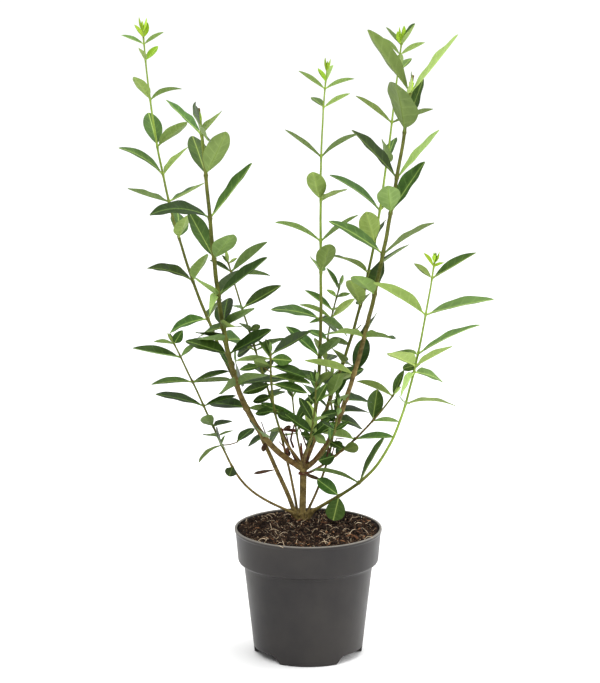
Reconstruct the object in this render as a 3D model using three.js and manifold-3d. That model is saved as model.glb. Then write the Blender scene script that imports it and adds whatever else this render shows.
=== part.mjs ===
/**
 * Potted privet: a young shrub with one short trunk, long arching shoots and paired leaves,
 * standing in a round nursery pot filled with peat.
 *
 * Units are millimetres and +Z is up. The origin is the centre of the pot's flat underside,
 * +X is the shrub's right-hand side and -Y is its front.
 */
import * as THREE from 'three'
import { mergeVertices } from 'three/addons/utils/BufferGeometryUtils.js'
import Module from 'manifold-3d'

const wasm = await Module()
wasm.setup()
const { Manifold, Mesh: SolidMesh } = wasm

// Gap that neighbouring solids keep
const GAP = 0.3

// Pot: outer radii and heights
const POT_HEIGHT = 132
const RIM_RADIUS = 75
const BAND_RADIUS = 71.5
const BAND_FOOT = 98
const BODY_RADIUS = 65.5
const SHOULDER = 94
const BASE_RADIUS = 55
const WALL = 1.8
const LIP_WALL = 2.8
const LIP_HEIGHT = 4
const POT_FLOOR = 9
const POT_SIDES = 40

// Drain channels under the pot, which leave three feet and a round pad in the middle
const CHANNEL_HEIGHT = 8
const CHANNEL_HALF_ANGLE = 29
const CHANNEL_SLOPE = 9
const CHANNEL_STEPS = [0, 0.16, 0.5, 0.84, 1]
const CHANNEL_CENTRES = [-30, 90, 210]
const PAD_RADIUS = 22

// Peat: a low mound that meets the pot below its rim
const SOIL_TOP = 131
const SOIL_EDGE = 126.6
const SOIL_PLATEAU = 46
const SOIL_ROUNDING = 4

// Trunk
const TRUNK_FOOT = new THREE.Vector3(-6, 30, SOIL_TOP + GAP)
const FORK = new THREE.Vector3(-5, 30, 186)
const TRUNK_RADIUS = 3.4
const FORK_RADIUS = 3.9
const FLARE_RADIUS = 7.8
const FLARE_HEIGHT = 9
const BUTTRESS_RADIUS = 3.2
const BUTTRESS_REACH = 10
const BELOW_CUT = 4
const TRUNK_STEPS = 9
const TRUNK_CROWDING = 1.6
const FORK_SWELLING = 4

// Limbs: how fast they taper, their sides, and how far a straight facet may lie from the curve
const LIMB_TAPER = 0.8
const BOUGH_SIDES = 6
const TWIG_SIDES = 5
const LIMB_SAG = 0.22
const SIDE_TWIG_RADIUS = 0.7
const SIDE_TWIG_TAPER = 0.85
const SIDE_TWIG_OVERLAP = 1.2

// Leaves
const PETIOLE = 0.09
const FOLD = 0.18
const LEAF_SLIMNESS = 0.42
const YOUNG_SLIMMING = 0.04
const BLADE_SKEW = 0.9
const BLADE_FULLNESS = 0.85
const LEAF_THICKNESS = 0.016
const LEAST_THICKNESS = 0.5
const LEAF_STATIONS = [0, 0.1, 0.4, 0.72, 1]
const PETIOLE_HALF_WIDTH = 0.8
const DEFAULT_ARCH = 14
const TURNED_OVER = -0.35

// Growth: the stretch below a growing tip where leaves are not yet full, and a new leaf's size
const GROWING_STRETCH = 130
const GROWING_CURVE = 0.6
const NEW_LEAF = 0.2

// Crowding: low leaves stay small, from this share at the first height to full size at the second
const CROWDED_SHARE = 0.3
const CROWDED_WIDTH = 0.2
const CROWDED_HEIGHT = 170
const OPEN_HEIGHT = 260

// Leaf pairs by the crosswise rule: angles in degrees, each with its changes by place and chance
const PAIR_TURN = 90
const PAIR_DRIFT = 9
const LEAF_TURN_CHANCE = 16
const LEAF_LIFT = { young: 24, grown: 24, low: 12, crowded: 12, chance: 14 }
const LEAF_ROLL_CHANCE = 30
const LEAF_BEND = { base: 16, chance: 15, young: 0.4 }
const LEAF_LENGTH_CHANCE = 0.18
const LEAF_WIDTH = { slimming: 0.02, chance: 0.05 }
const LIGHT_PULL = 0.8

// Room that a leaf keeps to leaves of other shoots, to those of its own, to limbs and to the pot
const LEAF_CLEAR = 3
const OWN_LEAF_CLEAR = 1.8
const STEM_CLEAR = 2
const POT_CLEAR = 4
const OWN_STEM_REACH = 9
const STEM_SAMPLE = 2

// The shrub's front view looks down on it by this angle; leaf spreads are given in that view
const FRONT_TILT = THREE.MathUtils.degToRad(13.19)
const FRONT_RIGHT = new THREE.Vector3(1, 0, 0)
const FRONT_UP = new THREE.Vector3(0, Math.sin(FRONT_TILT), Math.cos(FRONT_TILT))
const FRONT_TOWARD = new THREE.Vector3(0, -Math.cos(FRONT_TILT), Math.sin(FRONT_TILT))
const LIGHT = new THREE.Vector3(0.12, -0.62, 0.78)

const BARK = { color: 0x6b5a3c, roughness: 0.85, metalness: 0 }
const GREEN_BARK = { color: 0x7f8f3f, roughness: 0.7, metalness: 0 }
const FOLIAGE = { color: 0x4a7a35, roughness: 0.45, metalness: 0 }
const PLASTIC = { color: 0x494748, roughness: 0.5, metalness: 0 }
const PEAT = { color: 0x2e211b, roughness: 0.95, metalness: 0 }

/**
 * The shoots. Each has its path (a cubic curve's four points), the radius at its foot and tip,
 * the arc length that stays fused to the trunk, the length of bare bough, the turn and seed of
 * its leaf pairs, the length of a grown leaf and whether its tip was cut off. Its nodes run
 * from the tip down: the gap to the node above, then the spread of each leaf there as
 * [right, up, shown width, arch], with a minus on a width that shows the leaf's upper side.
 * Two more numbers are the reach, right and up, of a bare side twig that carries the leaf.
 * A node with no spreads gets a pair by the crosswise rule.
 */
const SHOOTS = [
  { name: 'left_main', path: [[-5, 30, 186], [-94, 18, 236], [-88, -15, 369], [-108, -40, 568]],
    foot: 3.3, tip: 1.6, fused: 12, bare: 48, turn: 20, seed: 1, leaf: 54, cut: true,
    nodes: [
      [23, [-36, 35, -8], [20, 19, 3], [-4, 15, 4], [4, 16, 4]],
      [43, [21, 41, 22], [-14, 41, -19]],
      [45, [-60, 3, -14, 75], [42, 55, -9, 4]],
      [44, [20, 23, 18], [-26, 48, -16]],
      [40, [50, 38, -10], [23, 29, -14], [-23, 17, 3], [-9, -18, 8]],
      [35, [31, 20, 9], [3, 31, -19], [-24, -7, -8], [14, 2, 10]],
      [14, [15, 1, -17], [-28, 8, 6], [-27, 1, 4]],
      [16, [-44, 15, -14, 10], [44, 24, -12]],
      [21, [-16, 24, -8]],
      [8, [-1, 22, -6]],
      [6, [31, 10, 9, 30], [50, 6, -9], [-15, -5, 13]],
      [28, [-37, 5, -12], [38, -4, 9]],
      [38, [-16, -8, -7], [-9, 12, 6]]] },
  { name: 'left_tall', path: [[-11, 34, 131], [-79, 45, 302], [-149, 62, 378], [-168, 95, 629]],
    foot: 2.5, tip: 0.8, fused: 12, bare: 200, turn: 90, seed: 2, leaf: 50, cut: false,
    nodes: [
      [8, [-9, 13, 5], [4, 16, 8]],
      [6, [-23, 9, -4], [20, 12, 3]],
      [17, [-6, 11, 5], [13, 14, 7]],
      [40, [-15, 22, 11], [33, 10, 3, 50]],
      [48, [-10, 36, -19], [31, 23, 10]],
      [29, [-44, 28, -8, 40], [26, 26, 4]],
      [28, [-41, 12, 3, 4], [35, 20, -3, 4]],
      [39, [-2, 28, -18], [10, 22, 12]],
      [46, [-47, 13, -10, 50], [15, 26, 11]],
      [42, [-40, -13, -11, 40], [12, 20, -8]]] },
  { name: 'left_inner', path: [[-10, 37, 131], [-25, 55, 228], [-56, 80, 297], [-83, 125, 382]],
    foot: 1.5, tip: 0.85, fused: 12, bare: 30, turn: 10, seed: 3, leaf: 42, cut: false,
    nodes: [
      [2, [-7, 9, -4], [9, 6, 4]],
      [9, [38, 31, 10], [-22, 12, -5]],
      [3, [40, -1, 3, 30]],
      [38, [40, 24, -12, 15], [-10, 3, 3]],
      [25, [-9, 8, 6], [11, 6, 7]],
      [16, [35, 7, 2.5], [-21, -11, -11]],
      [5],
      [27, [-14, 12, -8], [9, 16, -8]],
      [23, [13, 9, -5]],
      [37, [-13, 0, 5], [-11, -12, -9]]] },
  { name: 'left_low', path: [[-9, 27, 137], [-87, 0, 178], [-64, 5, 174], [-137, 30, 318]],
    foot: 1.45, tip: 0.9, fused: 12, bare: 80, turn: 0, seed: 4, leaf: 46, cut: false,
    nodes: [
      [1, [9, 14, -13], [-21, 2, 5, 25]],
      [15, [-49, 9, -8], [16, 14, 6]],
      [28, [-42, -3, -7, 30], [37, 11, -6, 15], [39, 1, 3]],
      [27, [-49, 12, -8, 20], [33, 10, -6]],
      [23, [-9, 11, 14], [18, 5, -6]],
      [11, [-13, 2, 3], [16, 6, 2]],
      [10, [-23, -18, 4, 50], [16, 14, -9, 14, 16, 3], [-3, 10, 3], [3, 10, 3]],
      [25, [-3, -9, 12]]] },
  { name: 'centre_left', path: [[-5, 30, 186], [-15, 20, 213], [-39, -5, 220], [-38, -10, 318]],
    foot: 1.6, tip: 0.9, fused: 12, bare: 70, turn: 0, seed: 5, leaf: 50, cut: false,
    nodes: [
      [3, [-5, 16, -8], [41, 24, -12]],
      [4, [22, -2, -14], [-35, -2, 5], [-13, 19, -6]],
      [8, [-17, 6, 11], [37, -12, -11, 30]],
      [6, [-23, -4, -8, 14, -9, 6]],
      [4, [40, -8, -9]],
      [9, [36, -9, -10, 20], [-29, -9, -11]],
      [14, [-20, -5, -9], [11, 5, -6]],
      [16, [19, -7, -9], [-20, -3, -8]]] },
  { name: 'centre_front', path: [[-5, 30, 186], [-8, 22, 205], [0, -10, 215], [6, -30, 239]],
    foot: 1.4, tip: 0.9, fused: 12, bare: 28, turn: 0, seed: 6, leaf: 44, cut: false,
    nodes: [
      [2, [-29, 20, -12], [12, -9, 11]],
      [5, [-6, 36, 14], [26, 14, -10]],
      [16, [-5, 14, -7]],
      [20]] },
  { name: 'centre_tall', path: [[-5, 30, 186], [28, 38, 296], [2, 65, 440], [19, 95, 588]],
    foot: 2.5, tip: 0.75, fused: 44, bare: 60, turn: 90, seed: 7, leaf: 48, cut: false,
    nodes: [
      [12, [-8, 13, 5], [8, 18, 5]],
      [7, [-27, 18, 2], [30, 10, 3, 30]],
      [19, [-12, 12, -8], [27, 14, 4]],
      [50, [-37, 27, 2], [38, 23, 5, 30]],
      [45, [-8, 27, 19], [26, 10, 4]],
      [41, [-46, 19, 4, 35], [38, 26, 4]],
      [32, [9, 28, 19], [-8, 14, -8]],
      [48, [-51, 10, -10, 35], [27, -16, 8, 30], [16, -11, -9]],
      [39, [-34, 32, -11], [18, 19, 12]],
      [29, [-16, 12, 10], [14, 14, 10]],
      [17]] },
  { name: 'right_back', path: [[-5, 30, 186], [70, 38, 378], [69, 62, 412], [94, 50, 626]],
    foot: 2.2, tip: 0.8, fused: 44, bare: 70, turn: 90, seed: 8, leaf: 50, cut: false,
    nodes: [
      [5, [-4, 13, 7], [3, 20, 7], [-15, 19, -2], [13, 19, -2]],
      [10, [-19, 17, 4], [25, 12, 5]],
      [18, [2, 17, 10], [14, 15, -8]],
      [52, [-36, 27, 3], [42, 13, 3]],
      [43, [9, 28, -12], [-3, 21, 9]],
      [48, [-52, 35, -8, 35], [30, 25, -6]],
      [34, [-9, 31, 22], [10, 24, -8]],
      [31, [-34, 17, 3, 30], [41, 29, -2]],
      [35, [-10, 26, 16], [11, 14, -6]],
      [29, [-14, 4, 2], [7, 6, 2]],
      [32, [12, -3, -6], [-9, 13, 8]],
      [22, [-12, 10, 10], [14, 10, 9]],
      [16]] },
  { name: 'right_front', path: [[-5, 30, 186], [45, 12, 211], [83, -20, 453], [102, -45, 602]],
    foot: 2.8, tip: 1.6, fused: 12, bare: 58, turn: 10, seed: 9, leaf: 56, cut: true,
    nodes: [
      [14, [-42, 62, 12, 10], [46, 58, 3, 4], [1, 12, 4]],
      [42, [19, 54, -13, 10], [-9, 45, 26]],
      [48, [-44, 48, -12], [43, 47, 7, 8]],
      [38, [-4, 26, 24], [33, 52, -15]],
      [44, [-53, 34, -12, 20], [51, 32, 5, 20]],
      [44, [6, 35, -15], [-21, 17, 14]],
      [47, [12, 23, -6], [29, -1, 5, 20], [-40, 3, 5, 30]],
      [42, [12, 36, -17], [-50, 14, 8, 15]],
      [30, [-5, 33, -12], [24, -2, -8], [-15, -1, 7]],
      [14, [28, -1, -7, 20], [-18, -4, -9]],
      [11, [24, -8, -10, 30], [-17, 6, -10]]] },
  { name: 'right_green', path: [[-2, 26, 138], [71, -8, 192], [93, -22, 188], [126, -25, 414]],
    foot: 1.9, tip: 0.9, fused: 12, bare: 36, turn: 90, seed: 10, leaf: 52, cut: false,
    nodes: [
      [1, [-1, 8, 5], [5, 8, 4]],
      [4, [-10, 14, 4], [10, 4, 3]],
      [12, [-18, 15, 7], [44, 26, -8]],
      [38, [-62, 37, 10, 25], [68, 16, -9, 20]],
      [41, [62, 30, -5, 20], [-31, 1, 4]],
      [13, [36, 20, 6], [-28, 14, 14]],
      [7, [30, -9, -9, 25], [-15, -22, 9]],
      [34, [50, -2, 4, 45], [-4, 4, 3]],
      [103, [-48, 13, 4, 35], [26, 46, -5]],
      [28, [-22, 17, -14], [-6, -25, -20]]] },
  { name: 'right_low', path: [[-5, 30, 186], [-13, 42, 162], [50, 53, 202], [88, 59, 257]],
    foot: 1.5, tip: 0.9, fused: 12, bare: 36, turn: 0, seed: 11, leaf: 44, cut: false,
    nodes: [
      [2, [12, 27, -10], [-37, 15, 6, 35]],
      [33, [5, 32, -19], [27, -1, 5, 25]],
      [26, [39, 2, -7, 20], [-38, 9, 11]],
      [17, [16, 4, 12], [-20, 7, 3]],
      [9, [-18, -5, -15], [8, 10, -8]]] },
  { name: 'centre_back', path: [[-3, 34, 134], [63, 66, 269], [-10, 92, 218], [33, 112, 360]],
    foot: 1.4, tip: 0.8, fused: 12, bare: 110, turn: 0, seed: 12, leaf: 44, cut: false,
    nodes: [
      [4, [-13, 22, -5], [1, 6, 7]],
      [9, [-10, 8, 5], [14, 4, 5]],
      [14, [-29, 21, -7], [4, 3, 3]],
      [8, [24, 20, 8], [-33, 14, 4, 30], [-23, -5, -5]],
      [23, [-20, 10, -8], [22, -4, 7]],
      [23],
      [23]] },
  { name: 'front_low', path: [[-5, 30, 186], [-5, 0, 205], [5, -50, 230], [8, -60, 300]],
    foot: 1.4, tip: 0.8, fused: 12, bare: 50, turn: 40, seed: 13, leaf: 44, cut: false,
    nodes: [[2], [8], [16], [22], [22]] },
  { name: 'front_right', path: [[-5, 30, 186], [10, 10, 200], [28, -40, 225], [30, -50, 273]],
    foot: 1.4, tip: 0.8, fused: 12, bare: 50, turn: 10, seed: 14, leaf: 44, cut: false,
    nodes: [[2], [10], [20], [20]] },
  { name: 'back_mid', path: [[-5, 30, 186], [-8, 60, 195], [-15, 105, 215], [-17, 120, 252]],
    foot: 1.4, tip: 0.8, fused: 12, bare: 50, turn: 30, seed: 15, leaf: 44, cut: false,
    nodes: [
      [2],
      [12],
      [22, [-16, 5, -9]],
      [22]] },
  { name: 'back_right', path: [[-5, 30, 186], [5, 70, 200], [22, 115, 220], [25, 130, 260]],
    foot: 1.4, tip: 0.8, fused: 12, bare: 50, turn: 0, seed: 16, leaf: 44, cut: false,
    nodes: [[2], [12], [22], [22]] },
]

const radians = THREE.MathUtils.degToRad
const clamp = THREE.MathUtils.clamp

/** A repeatable row of numbers from a seed. */
class Dice {
  static MULTIPLIER = 48271
  static MODULUS = 2147483647

  constructor(seed) {
    this.state = (seed * 7919 + 104729) % Dice.MODULUS
    for (let i = 0; i < 3; i++) this.roll()
  }

  roll() {
    this.state = (this.state * Dice.MULTIPLIER) % Dice.MODULUS
    return this.state / Dice.MODULUS
  }

  spread(size) {
    return (2 * this.roll() - 1) * size
  }
}

const AXES = [new THREE.Vector3(1, 0, 0), new THREE.Vector3(0, 1, 0), new THREE.Vector3(0, 0, 1)]

/** The axis that stays furthest from all the directions. */
function furthestAxis(directions) {
  const nearness = AXES.map((axis) => Math.max(...directions.map((d) => Math.abs(axis.dot(d)))))
  return AXES[nearness.indexOf(Math.min(...nearness))]
}

/** The centre line and taper of one shoot. */
class Limb {
  static COURSE_SAMPLES = [0, 0.1, 0.2, 0.3, 0.4, 0.5, 0.6, 0.7, 0.8, 0.9, 1]

  constructor(shoot) {
    this.shoot = shoot
    this.curve = new THREE.CubicBezierCurve3(...shoot.path.map((p) => new THREE.Vector3(...p)))
    this.length = this.curve.getLength()
    this.guide = furthestAxis(Limb.COURSE_SAMPLES.map((t) => this.curve.getTangent(t)))
  }

  point(s) {
    return this.curve.getPointAt(clamp(s / this.length, 0, 1))
  }

  tangent(s) {
    return this.curve.getTangentAt(clamp(s / this.length, 0, 1))
  }

  radius(s) {
    const { foot, tip } = this.shoot
    return foot + (tip - foot) * (s / this.length) ** LIMB_TAPER
  }

  /** How grown the leaves are at arc length s: 0 at a growing tip, 1 well below it. */
  age(s) {
    return this.shoot.cut ? 1 : clamp((this.length - s) / GROWING_STRETCH, 0, 1) ** GROWING_CURVE
  }
}

/** One leaf: a folded blade along a circular arc from its root. */
class Leaf {
  constructor(root, out, up, length, width, bend, foot = root) {
    Object.assign(this, { root, out, up, length, width, bend, foot })
    this.side = new THREE.Vector3().crossVectors(out, up)
  }

  spine(t) {
    const { root, out, up, length, bend } = this
    const along = (length * Math.sin(bend * t)) / bend
    const drop = (length * (1 - Math.cos(bend * t))) / bend
    const point = root.clone().addScaledVector(out, along).addScaledVector(up, -drop)
    const normal = up.clone().multiplyScalar(Math.cos(bend * t)).addScaledVector(out, Math.sin(bend * t))
    return { point, normal }
  }

  halfWidth(t) {
    if (t <= PETIOLE) return PETIOLE_HALF_WIDTH
    const x = (t - PETIOLE) / (1 - PETIOLE)
    return x < 1 ? 0.5 * this.width * Math.sin(Math.PI * x ** BLADE_SKEW) ** BLADE_FULLNESS : 0
  }

  /** A point of the blade: t runs from root to tip, across from -1 to 1, above is off the spine. */
  surface(t, across, above) {
    const { point, normal } = this.spine(t)
    const half = this.halfWidth(t)
    const rise = Math.abs(across) * half * Math.sin(FOLD) + above
    return point.addScaledVector(this.side, across * half * Math.cos(FOLD)).addScaledVector(normal, rise)
  }

  /** Whether the leaf stands on a side twig. */
  get stalked() {
    return this.foot !== this.root
  }

  /** Points all over the blade and its side twig, for clearance tests. */
  samples() {
    const points = []
    for (let i = 0; i < 12; i++) {
      for (let j = 0; j < 7; j++) points.push(this.surface(i * 0.07 + 0.23, j / 3 - 1, 0))
    }
    if (this.stalked) {
      for (const share of [0.4, 0.6, 0.8, 1]) points.push(this.foot.clone().lerp(this.root, share))
    }
    return points
  }
}

/** The share of its full size that a leaf has reached at an age. */
function grownShare(age) {
  return NEW_LEAF + (1 - NEW_LEAF) * age
}

/** How much crowding shortens the leaves at a height, as a share. */
function crowding(height) {
  const open = clamp((height - CROWDED_HEIGHT) / (OPEN_HEIGHT - CROWDED_HEIGHT), 0, 1)
  return (1 - CROWDED_SHARE) * (1 - open)
}

/** A leaf given by its spread in the front view; depth and size are changes that find it room. */
function spreadLeaf(limb, s, [right, up, shown, arch = DEFAULT_ARCH, ...twig], depth, size) {
  const age = limb.age(s)
  const face = Math.sign(shown)
  const flat = Math.hypot(right, up) * size
  const foot = limb.point(s)
  const root = twig.length === 0 ? foot
    : foot.clone().addScaledVector(FRONT_RIGHT, twig[0]).addScaledVector(FRONT_UP, twig[1])
  const crowded = crowding(root.z)
  const full = Math.max(limb.shoot.leaf * grownShare(age) * (1 - crowded), flat)
  const toward = face * Math.sqrt(Math.max(full * full - flat * flat, 0)) + depth
  const chord = FRONT_RIGHT.clone().multiplyScalar(right * size)
    .addScaledVector(FRONT_UP, up * size)
    .addScaledVector(FRONT_TOWARD, toward)
  const span = chord.length()
  const along = chord.normalize()
  const slimness = LEAF_SLIMNESS + CROWDED_WIDTH * crowded - YOUNG_SLIMMING * (1 - age)
  const width = Math.max(span * slimness, Math.abs(shown))
  const roll = Math.acos(clamp(Math.abs(shown) / width, 0, 1))
  const facing = FRONT_TOWARD.clone().addScaledVector(along, -along.dot(FRONT_TOWARD)).normalize()
  const edge = new THREE.Vector3().crossVectors(along, facing)
  if (edge.z < 0) edge.negate()
  const normal = facing.multiplyScalar(-face * Math.cos(roll)).addScaledVector(edge, Math.sin(roll))
  if (normal.z < TURNED_OVER) normal.negate()
  const bend = radians(arch)
  const [c, d] = [Math.cos(bend / 2), Math.sin(bend / 2)]
  const out = along.clone().multiplyScalar(c).addScaledVector(normal, d)
  const top = normal.clone().multiplyScalar(c).addScaledVector(along, -d)
  return new Leaf(root, out, top, (span * (bend / 2)) / d, width, bend, foot)
}

/** A leaf by the crosswise rule; lift, turn and size are changes that find it room. */
function ruleLeaf(limb, s, azimuth, dice, low, liftChange, turnChange, size) {
  const age = limb.age(s)
  const stem = limb.tangent(s)
  const point = limb.point(s)
  const crowded = crowding(point.z)
  const angle = radians(azimuth + turnChange + LEAF_TURN_CHANCE * dice.turn)
  const side = new THREE.Vector3(Math.cos(angle), Math.sin(angle), 0)
  side.addScaledVector(stem, -side.dot(stem)).normalize()
  const { young, grown, low: lowLift, crowded: crowdedLift, chance } = LEAF_LIFT
  const rise = young + grown * age + lowLift * low + crowdedLift * crowded + chance * dice.lift
  const lift = radians(rise + liftChange)
  const out = stem.clone().multiplyScalar(Math.cos(lift)).addScaledVector(side, Math.sin(lift))
  const top = stem.clone().multiplyScalar(Math.sin(lift)).addScaledVector(side, -Math.cos(lift))
  top.addScaledVector(LIGHT, LIGHT_PULL)
  top.addScaledVector(out, -top.dot(out)).normalize()
  const across = new THREE.Vector3().crossVectors(out, top)
  const roll = radians(LEAF_ROLL_CHANCE * dice.roll)
  top.multiplyScalar(Math.cos(roll)).addScaledVector(across, Math.sin(roll))
  const full = limb.shoot.leaf * grownShare(age) * (1 - crowded)
  const length = full * (1 + LEAF_LENGTH_CHANCE * dice.length) * size
  const broader = CROWDED_WIDTH * crowded + LEAF_WIDTH.chance * dice.width
  const slimmer = LEAF_WIDTH.slimming + YOUNG_SLIMMING * (1 - age)
  const width = length * (LEAF_SLIMNESS + broader - slimmer)
  const bend = radians(LEAF_BEND.base + LEAF_BEND.chance * dice.bend)
    * (LEAF_BEND.young + (1 - LEAF_BEND.young) * age)
  return new Leaf(point, out, top, length, width, bend)
}

// Changes tried in turn when a leaf has no room: depth and size, or lift, turn and size
const SPREAD_TRIES = [
  [0, 1], [9, 1], [-9, 1], [18, 1], [-18, 1], [30, 1], [-30, 1], [45, 1], [-45, 1], [0, 0.93],
  [12, 0.93], [-12, 0.93], [28, 0.95], [-28, 0.95], [0, 0.86], [14, 0.86], [-14, 0.86],
  [30, 0.86], [-30, 0.86], [50, 0.86], [-50, 0.86], [0, 0.75], [20, 0.75], [-20, 0.75],
]
const RULE_TRIES = [
  [0, 0, 1], [14, 0, 1], [-14, 0, 1], [0, 22, 1], [0, -22, 1], [14, 22, 0.9], [-14, -22, 0.9],
  [24, -22, 0.85], [-22, 22, 0.85], [0, 40, 0.8], [0, -40, 0.8], [30, 0, 0.7],
]

/** Keeps the samples of limbs and leaves, and says whether a new leaf has room among them. */
class Space {
  constructor(limbs) {
    this.leaves = []
    this.stems = limbs.map((limb) => {
      const samples = []
      for (let s = 0; s <= limb.length; s += STEM_SAMPLE) {
        samples.push({ s, point: limb.point(s), radius: limb.radius(s) })
      }
      return samples
    })
  }

  clearOfStems(points, index, s) {
    return this.stems.every((samples, i) => samples.every((stem) => {
      if (i === index && Math.abs(stem.s - s) < OWN_STEM_REACH) return true
      const reach = stem.radius + STEM_CLEAR
      return points.every((p) => p.distanceToSquared(stem.point) >= reach * reach)
    }))
  }

  clearOfLeaves(points, index, ball) {
    return this.leaves.every((other) => {
      const room = other.index === index ? OWN_LEAF_CLEAR : LEAF_CLEAR
      if (other.ball.center.distanceTo(ball.center) > other.ball.radius + ball.radius + room) return true
      return points.every((p) => other.points.every((q) => p.distanceToSquared(q) >= room * room))
    })
  }

  clearOfPot(points) {
    const [top, edge] = [SOIL_TOP + POT_CLEAR, RIM_RADIUS + POT_CLEAR]
    return points.every((p) => p.z >= top || Math.hypot(p.x, p.y) >= edge)
  }

  takes(leaf, index, s) {
    const points = leaf.samples()
    const ball = new THREE.Sphere().setFromPoints(points)
    const free = this.clearOfStems(points, index, s)
      && this.clearOfLeaves(points, index, ball)
      && this.clearOfPot(points)
    if (free) this.leaves.push({ index, points, ball })
    return free
  }
}

/** Grows the leaves of every shoot: first the spread ones, then the pairs by rule. */
function growLeaves(limbs) {
  const space = new Space(limbs)
  const grown = limbs.map(() => [])
  for (const spreadRound of [true, false]) {
    limbs.forEach((limb, index) => {
      const { nodes, turn, seed } = limb.shoot
      const dice = new Dice(seed)
      let s = limb.length
      nodes.forEach(([gap, ...spreads], k) => {
        s -= gap
        const drift = dice.spread(PAIR_DRIFT)
        const throws = [0, 1].map(() => {
          const [lift, turn, length, width, bend, roll] = Array.from({ length: 6 }, () => dice.spread(1))
          return { lift, turn, length, width, bend, roll }
        })
        if (spreads.length > 0 !== spreadRound) return
        if (spreadRound) {
          for (const spread of spreads) {
            for (const [depth, size] of SPREAD_TRIES) {
              const leaf = spreadLeaf(limb, s, spread, depth, size)
              if (!space.takes(leaf, index, s)) continue
              grown[index].push(leaf)
              break
            }
          }
          return
        }
        throws.forEach((thrown, half) => {
          const azimuth = turn + PAIR_TURN * k + drift + 180 * half
          for (const [liftChange, turnChange, size] of RULE_TRIES) {
            const low = k / nodes.length
            const leaf = ruleLeaf(limb, s, azimuth, thrown, low, liftChange, turnChange, size)
            if (!space.takes(leaf, index, s)) continue
            grown[index].push(leaf)
            break
          }
        })
      })
    })
  }
  return grown
}

/** Turns a closed geometry into a solid: merges its vertices and drops its empty triangles. */
function solidOf(geometry) {
  geometry.deleteAttribute('normal')
  geometry.deleteAttribute('uv')
  const merged = mergeVertices(geometry, 1e-4)
  const index = merged.index.array
  const triangles = []
  for (let i = 0; i < index.length; i += 3) {
    const [a, b, c] = index.slice(i, i + 3)
    if (a !== b && b !== c && c !== a) triangles.push(a, b, c)
  }
  return new Manifold(new SolidMesh({
    numProp: 3,
    vertProperties: new Float32Array(merged.attributes.position.array),
    triVerts: new Uint32Array(triangles),
  }))
}

/** Turns a solid back into a named mesh. */
function meshOf(solid, name, finish) {
  const { vertProperties, triVerts } = solid.getMesh()
  const geometry = new THREE.BufferGeometry()
  geometry.setAttribute('position', new THREE.BufferAttribute(new Float32Array(vertProperties), 3))
  geometry.setIndex(new THREE.BufferAttribute(new Uint32Array(triVerts), 1))
  geometry.computeVertexNormals()
  const mesh = new THREE.Mesh(geometry, new THREE.MeshStandardMaterial(finish))
  mesh.name = name
  return mesh
}

/** Revolves a profile of [radius, height] points about the Z axis. */
function lathe(profile, sides = POT_SIDES) {
  const points = profile.map(([radius, height]) => new THREE.Vector2(radius, height))
  return new THREE.LatheGeometry(points, sides).rotateX(Math.PI / 2)
}

/** A closed cylinder whose rows are moved: place(t, x, y) gives the point at t from foot to tip. */
function shapedCylinder(sides, rows, place) {
  const geometry = new THREE.CylinderGeometry(1, 1, 1, sides, rows)
  const position = geometry.attributes.position
  for (let i = 0; i < position.count; i++) {
    const t = position.getY(i) + 0.5
    const point = place(t, position.getX(i), position.getZ(i))
    position.setXYZ(i, point.x, point.y, point.z)
  }
  return geometry
}

/** Two directions square to a stem and turned by a guide, so that (first, second, stem) is right-handed. */
function crossFrame(stem, guide) {
  const first = new THREE.Vector3().crossVectors(guide, stem).normalize()
  const second = new THREE.Vector3().crossVectors(stem, first)
  return [first, second]
}

/** The fewest rows that keep a limb's facets close to its curve between two arc lengths. */
function rowsFor(limb, from, to) {
  let rows = 1
  let sag = Infinity
  while (sag > LIMB_SAG) {
    rows += 1
    const step = (to - from) / rows
    const sags = Array.from({ length: rows }, (_, i) => {
      const start = limb.point(from + step * i)
      const middle = start.lerp(limb.point(from + step * (i + 1)), 0.5)
      return middle.distanceTo(limb.point(from + step * (i + 0.5)))
    })
    sag = Math.max(...sags)
  }
  return rows
}

/** A tapering round limb between two arc lengths of its centre line. */
function limbSolid(limb, from, to, sides) {
  const rows = rowsFor(limb, from, to)
  return solidOf(shapedCylinder(sides, rows, (t, x, y) => {
    const s = from + (to - from) * t
    const radius = limb.radius(s)
    const [first, second] = crossFrame(limb.tangent(s), limb.guide)
    return limb.point(s).addScaledVector(first, -x * radius).addScaledVector(second, y * radius)
  }))
}

/** A straight round piece that tapers between two points. */
function coneSolid(start, end, startRadius, endRadius, sides) {
  const stem = end.clone().sub(start).normalize()
  const [first, second] = crossFrame(stem, furthestAxis([stem]))
  return solidOf(shapedCylinder(sides, 1, (t, x, y) => {
    const radius = startRadius + (endRadius - startRadius) * t
    return start.clone().lerp(end, t).addScaledVector(first, -x * radius).addScaledVector(second, y * radius)
  }))
}

/** A leaf blade, pointed at both ends and thickest on its midrib. */
function leafSolid(leaf) {
  const thickness = Math.max(LEAST_THICKNESS, LEAF_THICKNESS * leaf.length)
  const last = LEAF_STATIONS.length - 1
  return solidOf(shapedCylinder(4, last, (t, x, y) => {
    const station = Math.round(t * last)
    const open = station > 0 && station < last ? 1 : 0
    const along = LEAF_STATIONS[station]
    const thick = station === 1 ? PETIOLE_HALF_WIDTH : thickness / 2
    return leaf.surface(along, x * open, y * open * thick)
  }))
}

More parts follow.
